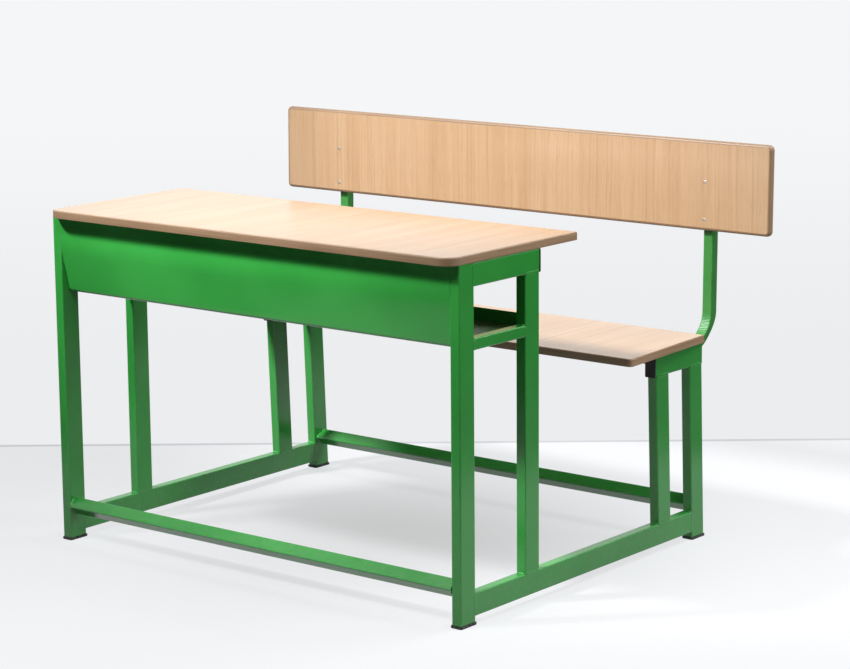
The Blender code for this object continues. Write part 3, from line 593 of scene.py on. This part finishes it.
def tray_body(node):
    """One folded sheet: the path carried along X, a sheet's thickness deep, with a slight waviness.

    The front panel swells by sin^2 over its height times a cosine along X, the floor sags between the ends.
    """
    low, high = box(node)
    top, bottom, front, rear = high[2], low[2], low[1], high[1]
    crease = top - TRAY_PLUMB_HEIGHT
    heel = front + TRAY_LEAN_IN
    corners = [(front + TRAY_TOP_FOLD, top), (front, top), (front, crease)]
    corners += [(heel, bottom), (rear, bottom), (rear, bottom + TRAY_LIP_HEIGHT)]
    path = folded_path(corners, TRAY_BENDS)
    ahead = np.gradient(path, axis=0)
    ahead /= np.linalg.norm(ahead, axis=1)[:, None]
    inwards = np.column_stack([-ahead[:, 1], ahead[:, 0]])
    xs = np.linspace(low[0] - SEAM, high[0] + SEAM, int((high[0] - low[0]) / TRAY_STEP))
    on_panel = np.clip((crease - path[:, 1]) / (crease - bottom), 0, 1)
    on_panel = np.sin(pi * on_panel) ** 2 * (path[:, 0] < heel + TRAY_LEAN_IN)
    on_floor = np.clip((path[:, 0] - heel) / (rear - heel), 0, 1)
    on_floor = np.sin(pi * on_floor) ** 2 * (path[:, 1] < bottom + SHEET)
    end_share = np.sin(pi * (xs - low[0]) / (high[0] - low[0]))[:, None]
    wave = np.cos(2 * pi * xs / TRAY_WAVE_LENGTH + TRAY_WAVE_START)[:, None] * end_share * TRAY_WAVE
    swell = wave * on_panel + end_share * TRAY_WAVE * on_floor
    outer = path + swell[..., None] * inwards
    inner = outer + SHEET * inwards
    loop = np.concatenate([outer, inner[:, ::-1]], 1)
    rings = np.concatenate([np.broadcast_to(xs[:, None, None], loop.shape[:2] + (1,)), loop], -1)
    count, size = len(path), 2 * len(path)
    faces = grid_faces(len(xs), size).tolist()
    k = np.arange(count - 1)
    strip = np.stack([k, size - 1 - k, size - 2 - k, k + 1], -1)
    faces += strip.tolist() + (strip[:, ::-1] + (len(xs) - 1) * size).tolist()
    wear = np.zeros(size)
    wear[[0, count - 1, count, -1]] = 1
    return rings.reshape(-1, 3), faces, np.tile(wear, len(xs))


def mark_dust(tray, node):
    """A mark of 1 on the upper side of the tray's floor, behind its front, and 0 everywhere else."""
    low, _ = box(node)
    places = np.zeros(3 * len(tray.data.vertices), np.float32)
    tray.data.vertices.foreach_get("co", places)
    _, y, z = places.reshape(-1, 3).T
    on_floor = (z < low[2] + 3 * SHEET) & (z > low[2] + SHEET / 2) & (y > low[1] + 2 * TRAY_LEAN_IN)
    mark = tray.data.attributes.new("dust", "FLOAT", "POINT")
    mark.data.foreach_set("value", on_floor.astype(np.float32))


# Boards

def board_body(node, up, corners, rounding, under_rounding, splay, trims):
    """A board in its box, a rounded outline whose edge is rounded on the good face and under it.

    up is the direction of its good face. The half length shrinks by the splay from the front edge to the
    rear, and each end by its trim. The wear mark holds the height over the rear face, as a share of the
    thickness. Returns the body and, for each face, 0 on the laminate and 1 on the bare edge: laminate are
    the two outermost bands of faces on either side and the flat face that closes them.
    """
    low, high = box(node)
    back = np.cross(up, X)
    axis = np.argmax(np.abs(back))
    depth = (high[axis] - low[axis] - BOARD_THICKNESS * abs(up[axis])) / abs(back[axis])
    length = high[0] - low[0] - sum(trims)
    middle = (low + high) / 2 + X * (trims[0] - trims[1]) / 2
    rows = [(2 * under_rounding + SHOULDER, 0.0), (under_rounding + SHOULDER, 0.0)]
    rows += quarter(under_rounding)[::-1]
    rows += [(inset, BOARD_THICKNESS - drop) for inset, drop in quarter(rounding)]
    rows += [(rounding + SHOULDER, BOARD_THICKNESS), (2 * rounding + SHOULDER, BOARD_THICKNESS)]
    rings = []
    for inset, height in rows:
        radii = np.maximum(np.asarray(corners) - inset, FINE_SHOULDER)
        flat, _ = rounded_outline(length - 2 * inset, depth - 2 * inset, radii, PLAN_STEPS, FINE_SHOULDER)
        flat[:, 0] -= np.sign(flat[:, 0]) * splay * (1 / 2 + flat[:, 1] / depth)
        rings.append(middle + flat[:, :1] * X + flat[:, 1:] * back + (height - BOARD_THICKNESS / 2) * up)
    count = len(rings[0])
    rise = np.array([height for _, height in rows])[:, None] / BOARD_THICKNESS
    points, faces, wear = loft(rings, np.broadcast_to(rise, (len(rows), count)))
    bands = len(rows) - 1
    kinds = np.ones(len(faces), np.int32)
    kinds[:2 * count] = 0
    kinds[(bands - 2) * count:] = 0
    return (points, faces, wear), kinds


# Screws

def screw_body(middle, out, head, length):
    """A screw turned about out from (radius, height) rows, whose shank runs inwards from its head.

    The crossed recess is deepest where a point lies well inside one of two crossed bars: its depth is a
    clipped slope of how far the nearer of |a| and |b| is inside the bar's width, times one for its reach.
    """
    up = np.cross(out, X)
    angles = np.linspace(0, 2 * pi, TURN_STEPS, endpoint=False)
    inner = np.linspace(RECESS_REACH, RECESS_REACH / RECESS_RINGS, RECESS_RINGS)
    rows = [(TIP_RADIUS, -length), (SHANK_RADIUS, 2 * SHANK_RADIUS - length)]
    rows += [(SHANK_RADIUS, head[0][1])] + head + [(radius, head[-1][1]) for radius in inner]
    radii, heights = np.array(rows).T
    a, b = np.outer(radii, np.cos(angles)), np.outer(radii, np.sin(angles))
    in_bar = np.clip((RECESS_WIDTH - np.minimum(abs(a), abs(b))) / RECESS_SLOPE, 0, 1)
    in_reach = np.clip((RECESS_REACH - np.maximum(abs(a), abs(b))) / RECESS_SLOPE, 0, 1)
    depth = in_bar * in_reach
    depth[:-RECESS_RINGS] = 0
    height = heights[:, None] - RECESS_DEPTH * depth
    return loft(middle + a[..., None] * X + b[..., None] * up + height[..., None] * out, depth)


def sunk_screw(node):
    """A countersunk screw in the backrest, its head a hair proud of the board."""
    low, high = box(node)
    out = np.array([0.0, -cos(LEAN), sin(LEAN)])
    y = low[1] + SUNK_RADIUS * sin(LEAN)
    z = high[2] - SUNK_RADIUS * cos(LEAN)
    head = [(SUNK_RADIUS * SUNK_FOOT_SHARE, 0.0), (SUNK_RADIUS, HEAD_RISE / 2)]
    head += [(SUNK_RADIUS * SUNK_CROWN_SHARE, HEAD_RISE)]
    return screw_body(np.array([(low[0] + high[0]) / 2, y, z]), out, head, high[1] - low[1])


def pan_screw(node):
    """A pan-head screw from below; the head's crown is a part of a circle."""
    low, high = box(node)
    middle = (low + high) / 2
    middle[2] = low[2] + PAN_HEIGHT
    inset = PAN_HEIGHT / 2
    angles = np.linspace(0, pi / 2, EDGE_STEPS)
    crown = [(PAN_RADIUS - inset * (1 - cos(t)), inset + inset * sin(t)) for t in angles]
    return screw_body(middle, -Z, [(PAN_RADIUS, 0.0)] + crown, high[2] - middle[2])


# Weld beads

def bead(start, end, a, b, flat=False):
    """A weld bead along the seam from start to end, over the faces that run away from it along a and b.

    At an angle t its surface is leg (a cos^p t + b sin^p t), and p, its fullness, is under 2, so it bulges.
    A flat bead lies over a flush seam: b points out of the face and a runs across it. The leg swells and
    shrinks along the seam with the ripples, which bow forward at the crown, and tapers off at both ends.
    """
    length = np.linalg.norm(end - start)
    count = max(int(length / BEAD_STEP), BEAD_LEAST_STEPS)
    s = np.linspace(0, length, count)[:, None]
    along = (end - start) / length
    drifts = random.uniform(-1, 1, BEAD_DRIFTS)
    drift = np.interp(s[:, 0], np.linspace(0, length, BEAD_DRIFTS), drifts)[:, None]
    taper = np.sqrt(np.clip(np.minimum(s, length - s) / BEAD, BEAD_TIP, 1))
    if flat:
        t = np.linspace(0, pi, FLAT_BEAD_STEPS)
        run, rise = FLAT_BEAD * np.cos(t), FLAT_BEAD_RISE * np.sin(t) ** FLAT_BEAD_FULLNESS
        root = -SHOULDER * b
    else:
        t = np.linspace(0, pi / 2, BEAD_STEPS)
        run, rise = BEAD * np.cos(t) ** BEAD_FULLNESS, BEAD * np.sin(t) ** BEAD_FULLNESS
        root = -SHOULDER * (a + b)
    crown = np.sin(np.linspace(0, pi, len(t)))
    ripple = np.abs(np.sin(pi * (s + BEAD_BOW * BEAD_PITCH * crown) / BEAD_PITCH)) - BEAD_VALLEY
    swell = 1 + BEAD_RIPPLE * ripple * crown + BEAD_DRIFT * drift
    surface = (run * swell * taper)[..., None] * a + (rise * swell * taper)[..., None] * b
    roots = np.stack([root + run[k] * taper * a * flat for k in (-1, 0)], 1)
    return loft((start + s * along)[:, None] + np.concatenate([surface, roots], 1), BEAD_WEAR)


def end_welds(middle, into, side, up, width, depth, far_seam=True):
    """Beads round the end of a tube that butts on a wider face, which it meets along into.

    Two lie in the corners under and over its faces that are square to up, of which the far one, where up
    points, can be left out. Two lie flat over the flush seams of its faces that are square to side.
    """
    beads = []
    for sign in (-1, 1) if far_seam else (-1,):
        seam = middle + sign * up * depth / 2
        half = side * (width / 2 - TUBE_CORNER)
        beads.append(bead(seam - half, seam + half, -into, sign * up))
    for sign in (-1, 1):
        seam = middle + sign * side * width / 2 + into * TUBE_CORNER / 2
        half = up * (depth / 2 - TUBE_CORNER)
        beads.append(bead(seam - half, seam + half, into, sign * side, flat=True))
    return beads


def rail_welds(node, at_rear=False, rake=0.0, far_seam=True):
    """Beads round the front or rear end of a rail."""
    low, high = box(node)
    middle = (low + high) / 2
    middle[1] = high[1] - tan(rake) * TUBE_DEPTH / 2 if at_rear else low[1]
    into = Y if at_rear else -Y
    return end_welds(middle, into, X, Z, high[0] - low[0], high[2] - low[2], far_seam)


def upright_welds(node, at_top, raked=True, far_seam=True):
    """Beads round the top or the foot of an upright."""
    low, high = box(node)
    middle = (low + high) / 2
    middle[2] = high[2] if at_top else low[2]
    if raked:
        middle[1] = low[1] + TUBE_DEPTH / 2 if at_top else high[1] - TUBE_DEPTH / 2
    return end_welds(middle, Z if at_top else -Z, X, Y, high[0] - low[0], TUBE_DEPTH, far_seam)


def bar_welds(node, sign):
    """Beads round the end of a bar laid on edge, on the leg's inner face."""
    low, high = box(node)
    middle = (low + high) / 2
    middle[0] = high[0] if sign > 0 else low[0]
    beads = []
    for dy, dz in ((1, 1), (-1, 1), (-1, -1), (1, -1)):
        out = (dy * Y + dz * Z) / np.sqrt(2)
        run = (dy * Y - dz * Z) / np.sqrt(2)
        seam = middle + out * BAR_SIZE / 2
        half = run * (BAR_SIZE / 2 - TUBE_CORNER)
        beads.append(bead(seam - half, seam + half, -sign * X, out))
    return beads


def back_tube_stitches(side, sign):
    """Short beads under the back tube, along the seat rail's inner face."""
    low, _ = box("back_tube_" + side)
    rail_low, rail_high = box("seat_rail_" + side)
    inner = rail_low[0] if sign > 0 else rail_high[0]
    beads = []
    for share in BACK_TUBE_STITCHES:
        seam = np.array([inner, low[1] + share * (rail_high[1] - low[1]), low[2]])
        beads.append(bead(seam - Y * STITCH / 2, seam + Y * STITCH / 2, -sign * X, -Z))
    return beads


def tray_stitches(side, sign):
    """Short beads inside the tray, up its front panel and along the front leg's inner face."""
    low, high = box("book_tray")
    leg_low, leg_high = box("front_leg_" + side)
    inner = leg_low[0] if sign > 0 else leg_high[0]
    crease = high[2] - TRAY_PLUMB_HEIGHT
    beads = []
    for share in TRAY_STITCHES:
        z = low[2] + share * (high[2] - low[2])
        lean = TRAY_LEAN_IN * max(0.0, 1 - (z - low[2]) / (crease - low[2]))
        seam = np.array([inner, low[1] + lean + SHEET, z])
        beads.append(bead(seam - Z * STITCH / 2, seam + Z * STITCH / 2, -sign * X, Y))
    return beads


def side_welds(side, sign):
    """All the beads of one side frame; a seam under a board or at a rail's flush rear end has none."""
    end = "_" + side
    beads = rail_welds("base_rail" + end)
    beads += rail_welds("desk_rail" + end, far_seam=False)
    beads += rail_welds("shelf_rail" + end)
    beads += rail_welds("shelf_rail" + end, at_rear=True)
    beads += rail_welds("base_rail" + end, at_rear=True, rake=RAKE)
    beads += upright_welds("desk_upright" + end, at_top=True, raked=False, far_seam=False)
    beads += upright_welds("desk_upright" + end, at_top=False, raked=False)
    beads += upright_welds("seat_upright" + end, at_top=True)
    beads += upright_welds("seat_upright" + end, at_top=False)
    beads += upright_welds("rear_leg" + end, at_top=True, far_seam=False)
    beads += bar_welds("footrest_bar", sign)
    beads += bar_welds("rear_stretcher", sign)
    beads += back_tube_stitches(side, sign)
    beads += tray_stitches(side, sign)
    return beads


# Finishes

class Finish:
    """A material with short ways to add its nodes."""

    def __init__(self, name):
        self.material = bpy.data.materials.new(name)
        self.material.use_nodes = True
        self.nodes = self.material.node_tree.nodes
        self.links = self.material.node_tree.links
        self.surface = self.nodes["Principled BSDF"]
        self.place = self.add("TexCoord", {}, "Object")

    def put(self, socket, value):
        """Join the socket to a value that is a socket too, or set it to any other value."""
        if isinstance(value, bpy.types.NodeSocket):
            self.links.new(value, socket)
        else:
            socket.default_value = value

    def add(self, kind, inputs, output=0, **settings):
        """One output of a new node of a kind, with its settings and inputs."""
        node = self.nodes.new("ShaderNode" + kind)
        for key, value in settings.items():
            setattr(node, key, value)
        for key, value in inputs.items():
            self.put(node.inputs[key], value)
        return node.outputs[output]

    def noise(self, pattern, place=None):
        """A noise from 0 to 1, by default over the object's own coordinates."""
        cells, detail, roughness, stretch = pattern
        place = place or self.place
        if stretch != EVEN:
            place = self.add("Mapping", {"Vector": place, "Scale": stretch}, vector_type="TEXTURE")
        inputs = {"Vector": place, "Scale": cells, "Detail": detail, "Roughness": roughness}
        return self.add("TexNoise", inputs)

    def span(self, value, ramp=SPREAD, to=WHOLE):
        """The value carried from the ramp's two ends to two others, smoothly and clipped."""
        inputs = {"Value": value, "From Min": ramp[0], "From Max": ramp[1]}
        inputs.update({"To Min": to[0], "To Max": to[1]})
        return self.add("MapRange", inputs, interpolation_type="SMOOTHSTEP")

    def math(self, operation, a, b=0.0):
        """A sum of a kind on two values."""
        return self.add("Math", {0: a, 1: b}, operation=operation)

    def mix(self, a, b, share):
        """Colour a, and a share of colour b in its place."""
        a, b = (value if isinstance(value, bpy.types.NodeSocket) else (*value, 1.0) for value in (a, b))
        return self.add("Mix", {0: share, 6: a, 7: b}, 2, data_type="RGBA")

    def axis(self, name, vector=None):
        """One part of a vector, by default of the object's own coordinates."""
        return self.add("SeparateXYZ", {"Vector": vector or self.place}, name)

    def mark(self, name="wear"):
        """The mark that each point of the piece carries, or 0 on a piece without it."""
        return self.add("Attribute", {}, "Fac", attribute_name=name)

    def bump(self, heights, relief):
        """Heights from 0 to 1, each carried to its relief in metres, one upon the other."""
        normal = None
        for height, distance in zip(heights, relief):
            inputs = {"Height": height, "Distance": distance, "Strength": 1.0}
            if normal:
                inputs["Normal"] = normal
            normal = self.add("Bump", inputs)
        self.put(self.surface.inputs["Normal"], normal)

    def finish(self, colour, roughness, **others):
        """The material, once its surface has this colour, this roughness and its other inputs."""
        self.put(self.surface.inputs["Base Color"], colour)
        self.put(self.surface.inputs["Roughness"], roughness)
        for name, value in others.items():
            self.put(self.surface.inputs[name.replace("_", " ")], value)
        return self.material


def enamel_finish(name, deep, light, roughness):
    """Glossy baked enamel, lightly clouded and flecked, with orange peel, worn edges and scuffs.

    Dust lies thinly near the floor, and where a piece is marked for it. The worn edges' lighter green is
    also a painted highlight.
    """
    f = Finish(name)
    cloud = f.noise(ENAMEL_CLOUDS)
    tone = f.mix(deep, light, f.span(cloud))
    tone = f.mix(tone, ENAMEL_FLECK, f.span(f.noise(FLECKS), *FLECK_RAMP))
    # Lighter green at the corners: partly edge wear, partly a painted highlight
    worn_and_lit = f.math("MULTIPLY", f.mark(), f.span(f.noise(EDGE_WEAR), *EDGE_WEAR_RAMP))
    tone = f.mix(tone, ENAMEL_EDGE_WEAR_AND_HIGHLIGHT, worn_and_lit)
    low = f.span(f.axis("Z"), (LOW_DUST_HEIGHT, 0.0))
    low_dust = f.math("MULTIPLY", low, f.span(f.noise(LOW_DUST), *LOW_DUST_RAMP))
    marked_dust = f.math("MULTIPLY", f.mark("dust"), f.span(f.noise(TRAY_DUST), *TRAY_DUST_RAMP))
    dust = f.math("MAXIMUM", low_dust, marked_dust)
    tone = f.mix(tone, DUST, dust)
    scuff = f.span(f.noise(SCUFFS), *SCUFF_RAMP)
    tone = f.mix(tone, ENAMEL_SCUFF, scuff)
    dulled = f.math("MULTIPLY", f.math("ADD", scuff, dust), DULLING)
    f.bump((f.noise(ENAMEL_SWELLS), f.noise(ORANGE_PEEL), scuff), ENAMEL_RELIEF)
    return f.finish(tone, f.math("ADD", f.span(cloud, to=roughness), dulled))


def laminate_finish():
    """Wood-grained laminate under a film: broad and narrow streaks, short pores and faint wiped marks.

    The grain is fine along X and drawn out along Y and Z, so it runs along Y on a level board and along Z on
    an upright one.
    """
    f = Finish("beech laminate")
    warp = f.add("CombineXYZ", {0: f.math("MULTIPLY", f.noise(GRAIN_WARP), WARP_REACH)})
    place = f.add("VectorMath", {0: f.place, 1: warp})
    pores = f.noise(PORES, place)
    tone = f.mix(WOOD_DEEP, WOOD_LIGHT, f.span(f.noise(BROAD_GRAIN, place), *BROAD_GRAIN_RAMP))
    tone = f.mix(tone, WOOD_STREAK, f.span(f.noise(NARROW_GRAIN, place), *NARROW_GRAIN_RAMP))
    tone = f.mix(tone, WOOD_PORE, f.span(pores, *PORE_RAMP))
    film = f.span(f.noise(WIPED_MARKS), to=LAMINATE_ROUGHNESS)
    f.bump((f.noise(FILM_SWELLS), pores, f.noise(FILM_TOOTH)), LAMINATE_RELIEF)
    roughness = f.math("ADD", film, f.span(pores, *DULL_PORE_RAMP))
    return f.finish(tone, roughness, Specular_IOR_Level=LAMINATE_MIRROR)


def edge_finish():
    """The board's bare edge: plies across its thickness, short fibres along it, and a darker sealed rim.

    The bands at a board's two ends are painted paler than those along it, as painted light and sheen.
    """
    f = Finish("bare board edge")
    rise = f.mark()
    place = f.add("CombineXYZ", {0: f.axis("X"), 1: f.axis("Y"), 2: f.math("MULTIPLY", rise, PLY_REACH)})
    ply = f.noise(PLIES, place)
    fibre = f.noise(FIBRES, place)
    tone = f.mix(EDGE_DEEP, EDGE_LIGHT, f.span(ply, *PLY_RAMP))
    tone = f.mix(tone, EDGE_FIBRE, f.span(fibre, *FIBRE_RAMP))
    tone = f.mix(tone, EDGE_RIM, f.span(rise, *RIM_RAMP))
    # Painted light: the bands that face along X, at the board's ends, are made paler
    endways = f.math("ABSOLUTE", f.axis("X", f.add("NewGeometry", {}, "Normal")))
    lit_ends = f.add("VectorMath", {0: tone, 1: EDGE_END_PAINTED_LIGHT}, "Vector", operation="MULTIPLY")
    tone = f.mix(tone, lit_ends, f.span(endways, *BOARD_END_RAMP))
    f.bump((fibre, ply), EDGE_RELIEF)
    return f.finish(tone, f.span(fibre, to=EDGE_ROUGHNESS), Specular_IOR_Level=EDGE_MIRROR)


def plastic_finish():
    """Matt black plastic with a moulded grain, rubbed smoother in places and dusty down at the floor."""
    f = Finish("black plastic")
    rubbed = f.noise(RUBBED_SPOTS)
    low = f.span(f.axis("Z"), (SOLE_DUST_HEIGHT, 0.0))
    dust = f.math("MULTIPLY", low, f.span(f.noise(SOLE_DUST), *SOLE_DUST_RAMP))
    tone = f.mix(f.mix(PLASTIC_DEEP, PLASTIC_LIGHT, f.span(rubbed)), DUST, dust)
    f.bump((f.noise(MOULD_GRAIN), rubbed), PLASTIC_RELIEF)
    return f.finish(tone, f.span(rubbed, RUBBED_RAMP, PLASTIC_ROUGHNESS), Specular_IOR_Level=PLASTIC_MIRROR)


def zinc_finish():
    """Bright zinc plating with a fine turned brushing, cloudy in places and dark down in the recess."""
    f = Finish("zinc plated steel")
    cloud = f.noise(ZINC_CLOUDS)
    recess = f.mark()
    # Painted shade: the recess drawn dark and less metallic
    tone = f.mix(f.mix(ZINC_DEEP, ZINC_LIGHT, f.span(cloud)), ZINC_RECESS_SHADE, recess)
    f.bump((f.noise(BRUSHING), cloud), ZINC_RELIEF)
    return f.finish(tone, f.span(cloud, to=ZINC_ROUGHNESS), Metallic=f.span(recess, WHOLE, ZINC_METAL))


def floor_finish():
    """A pale floor and, behind a thin line, a backdrop that pales with distance.

    The floor's tone is painted a little darker under the bench, as a painted shadow, and deepens towards the
    line with faint clouds. The thin line is painted shade where the backdrop meets the floor, and the
    backdrop is painted darker near its foot, as painted shade. To the eye both shine a little by themselves,
    and in reflections so does the floor round the bench. To all other light the floor is dull.
    """
    f = Finish("floor")
    away = f.add("VectorMath", {0: f.place, 1: BACKDROP_NORMAL}, "Value", operation="DOT_PRODUCT")
    beyond = f.span(away, (BACKDROP_DISTANCE, BACKDROP_DISTANCE + BACKDROP_BLEND))
    deepening = f.span(away, (FLOOR_NEAR, BACKDROP_DISTANCE))
    deepening = f.math("ADD", deepening, f.span(f.noise(FLOOR_CLOUDS), *FLOOR_CLOUD_RAMP))
    from_middle = f.add("VectorMath", {0: f.place}, "Value", operation="LENGTH")
    # Painted shade: the backdrop darker near its foot
    backdrop = f.mix(BACKDROP_FOOT_SHADE, BACKDROP_FAR, f.span(away, (BACKDROP_DISTANCE, BACKDROP_DEPTH)))
    from_line = f.math("ABSOLUTE", f.math("SUBTRACT", away, BACKDROP_DISTANCE))
    tone = f.mix(FLOOR_TONE, FLOOR_DEEP, deepening)
    # Painted shadow: the floor's tone darkest under the middle of the bench
    tone = f.mix(tone, FLOOR_PAINTED_SHADOW, f.span(from_middle, (PAINTED_SHADOW_REACH, 0.0)))
    tone = f.mix(tone, backdrop, beyond)
    # Painted shade: a thin dark line where the backdrop meets the floor
    tone = f.mix(tone, LINE_SHADE, f.span(from_line, (BACKDROP_LINE, BACKDROP_LINE / 2), (0.0, LINE_SHARE)))
    shading = f.math("MULTIPLY", f.math("SUBTRACT", 1.0, beyond), FLOOR_SHADING)
    glow = f.add("Emission", {"Color": tone, "Strength": f.span(beyond, WHOLE, (FLOOR_GLOW, 1.0))})
    seen = f.add("BsdfDiffuse", {"Color": f.mix(BLACK, tone, shading)})
    unseen = f.add("BsdfDiffuse", {"Color": f.mix(BLACK, tone, FLOOR_BOUNCE)})
    from_gleam = f.add("VectorMath", {0: f.place, 1: GLEAM_CENTRE}, "Value", operation="DISTANCE")
    near = f.span(from_gleam, (GLEAM_REACH + GLEAM_BLEND, GLEAM_REACH))
    path = f.nodes.new("ShaderNodeLightPath")
    mirrored = f.math("MAXIMUM", path.outputs["Is Glossy Ray"], path.outputs["Is Transmission Ray"])
    rays = f.math("MAXIMUM", f.math("MULTIPLY", mirrored, near), path.outputs["Is Camera Ray"])
    shown = f.add("MixShader", {0: rays, 1: unseen, 2: f.add("AddShader", {0: glow, 1: seen})})
    f.put(f.nodes["Material Output"].inputs["Surface"], shown)
    f.nodes.remove(f.surface)
    return f.material


# Build

enamel = enamel_finish("green enamel", ENAMEL_DEEP, ENAMEL_LIGHT, ENAMEL_ROUGHNESS)
# A darker copy of the green enamel for the back tubes, as painted shade
shaded_enamel = enamel_finish("green enamel, painted shade", BACK_TUBE_SHADE_DEEP, BACK_TUBE_SHADE_LIGHT, BENT_ROUGHNESS)
laminate = laminate_finish()
bare_edge = edge_finish()
plastic = plastic_finish()
zinc = zinc_finish()


def add_painted(node, body, name=None, finish=enamel):
    """A green piece in the place of one solid."""
    return make_piece(name or "painted_" + node, body, [finish], [node])


def add_black(node, body, kind):
    """A black plastic piece in the place of one solid."""
    make_piece(kind + "_" + node, body, [plastic], [node])


def add_screw(node, body):
    """A zinc plated screw in the place of one solid."""
    make_piece("head_" + node, body, [zinc], [node])


def add_side_frame(side, sign):
    """The tubes of one side frame, their beads, and the back tube that it carries."""
    for part in ("front_leg_", "desk_upright_"):
        add_painted(part + side, upright(part + side))
    for part in ("seat_upright_", "rear_leg_"):
        add_painted(part + side, raked_upright(part + side))
    for part in ("desk_rail_", "shelf_rail_", "seat_rail_"):
        add_painted(part + side, rail(part + side))
    add_painted("base_rail_" + side, rail("base_rail_" + side, RAKE))
    add_painted("back_tube_" + side, back_tube("back_tube_" + side), finish=shaded_enamel)
    beads = merge(side_welds(side, sign))
    make_piece("weld_beads_" + side, beads, [enamel], sharp=SHARP_BEAD)


def add_fittings(side):
    """The plugs, feet and screws of one side."""
    for part, out in (("desk_rail_plug_", Y), ("seat_rail_plug_", -Y), ("back_tube_front_plug_", -Y)):
        add_black(part + side, level_plug(part + side, out), "cap")
    node = "back_tube_top_plug_" + side
    add_black(node, top_plug(node), "cap")
    for end, rake in (("front", 0.0), ("rear", RAKE)):
        node = "foot_" + end + "_" + side
        add_black(node, foot_body(node, rake), "rubber")
    for height in ("low", "high"):
        node = "backrest_screw_" + side + "_" + height
        add_screw(node, sunk_screw(node))
    for place in ("front", "rear"):
        for board in ("desktop", "seat"):
            node = board + "_screw_" + side + "_" + place
            add_screw(node, pan_screw(node))


def add_boards():
    """The three laminated boards; the backrest's good face looks forward and, by the lean, up."""
    forward = sin(LEAN) * Z - cos(LEAN) * Y
    boards = (
        ("desktop", Z, DESKTOP_CORNERS, BOARD_ROUNDING, UNDER_ROUNDING, 0.0, DESKTOP_TRIMS),
        ("seat_board", Z, SEAT_CORNERS, BOARD_ROUNDING, UNDER_ROUNDING, SEAT_SPLAY, UNTRIMMED),
        ("backrest_board", forward, BACKREST_CORNERS, BACKREST_ROUNDING, BACKREST_ROUNDING, 0.0, UNTRIMMED),
    )
    for node, *shape in boards:
        body, kinds = board_body(node, *shape)
        make_piece("laminated_" + node, body, [laminate, bare_edge], [node], kinds)


for side, sign in SIDES:
    add_side_frame(side, sign)
    add_fittings(side)
for place in ("left", "middle", "right"):
    add_screw("tray_screw_" + place, pan_screw("tray_screw_" + place))
for node in ("footrest_bar", "rear_stretcher"):
    add_painted(node, bar(node))
tray = add_painted("book_tray", tray_body("book_tray"), "folded_book_tray")
mark_dust(tray, "book_tray")
add_boards()


# Stage

def add_camera():
    """A camera that looks along +Y, tipped down, turned to the left about Z and rolled about its axis."""
    lens = bpy.data.cameras.new("camera")
    lens.lens = CAMERA_LENS
    lens.sensor_width = SENSOR_WIDTH
    camera = bpy.data.objects.new("camera", lens)
    turn = Matrix.Rotation(CAMERA_YAW, 4, "Z") @ Matrix.Rotation(pi / 2 - CAMERA_PITCH, 4, "X")
    camera.matrix_world = Matrix.Translation(CAMERA_PLACE) @ turn @ Matrix.Rotation(CAMERA_ROLL, 4, "Z")
    bpy.context.scene.collection.objects.link(camera)
    bpy.context.scene.camera = camera


def add_lamp(name, lamp, place, target):
    """A lamp hung at a place and turned to a target."""
    holder = bpy.data.objects.new(name, lamp)
    aim = (Vector(target) - Vector(place)).to_track_quat("-Z", "Y")
    holder.matrix_world = Matrix.LocRotScale(Vector(place), aim, None)
    bpy.context.scene.collection.objects.link(holder)


def add_lamps():
    """The soft square lamps and the round beam."""
    for name, place, size, power, target in LAMPS:
        lamp = bpy.data.lights.new(name, "AREA")
        lamp.shape = "SQUARE"
        lamp.size = size
        lamp.energy = power
        add_lamp(name, lamp, place, target)
    beam = bpy.data.lights.new("beam", "SPOT")
    beam.energy = BEAM_POWER
    beam.spot_size = BEAM_ANGLE
    beam.spot_blend = BEAM_SOFTNESS
    beam.shadow_soft_size = BEAM_RADIUS
    add_lamp("beam", beam, BEAM_PLACE, BEAM_TARGET)


def add_floor():
    """One flat square that carries the floor and the backdrop."""
    mesh = bpy.data.meshes.new("floor")
    corners = [(sx * FLOOR_REACH, sy * FLOOR_REACH, 0) for sx, sy in ((-1, -1), (1, -1), (1, 1), (-1, 1))]
    mesh.from_pydata(corners, [], [(0, 1, 2, 3)])
    floor = bpy.data.objects.new("floor", mesh)
    bpy.context.scene.collection.objects.link(floor)
    mesh.materials.append(floor_finish())


def add_sky():
    """A white surrounding to the eye and in reflections, and a weak fill for all other light."""
    world = bpy.data.worlds.new("world")
    bpy.context.scene.world = world
    world.use_nodes = True
    nodes, links = world.node_tree.nodes, world.node_tree.links
    path = nodes.new("ShaderNodeLightPath")
    rays = path.outputs["Is Camera Ray"]
    for name in ("Is Glossy Ray", "Is Transmission Ray"):
        most = nodes.new("ShaderNodeMath")
        most.operation = "MAXIMUM"
        links.new(rays, most.inputs[0])
        links.new(path.outputs[name], most.inputs[1])
        rays = most.outputs[0]
    level = nodes.new("ShaderNodeMapRange")
    level.inputs["To Min"].default_value = SKY_STRENGTH
    links.new(rays, level.inputs["Value"])
    nodes["Background"].inputs["Color"].default_value = SKY_COLOUR
    links.new(level.outputs[0], nodes["Background"].inputs["Strength"])


add_camera()
add_floor()
add_sky()
add_lamps()
bpy.context.scene.view_settings.view_transform = "Standard"
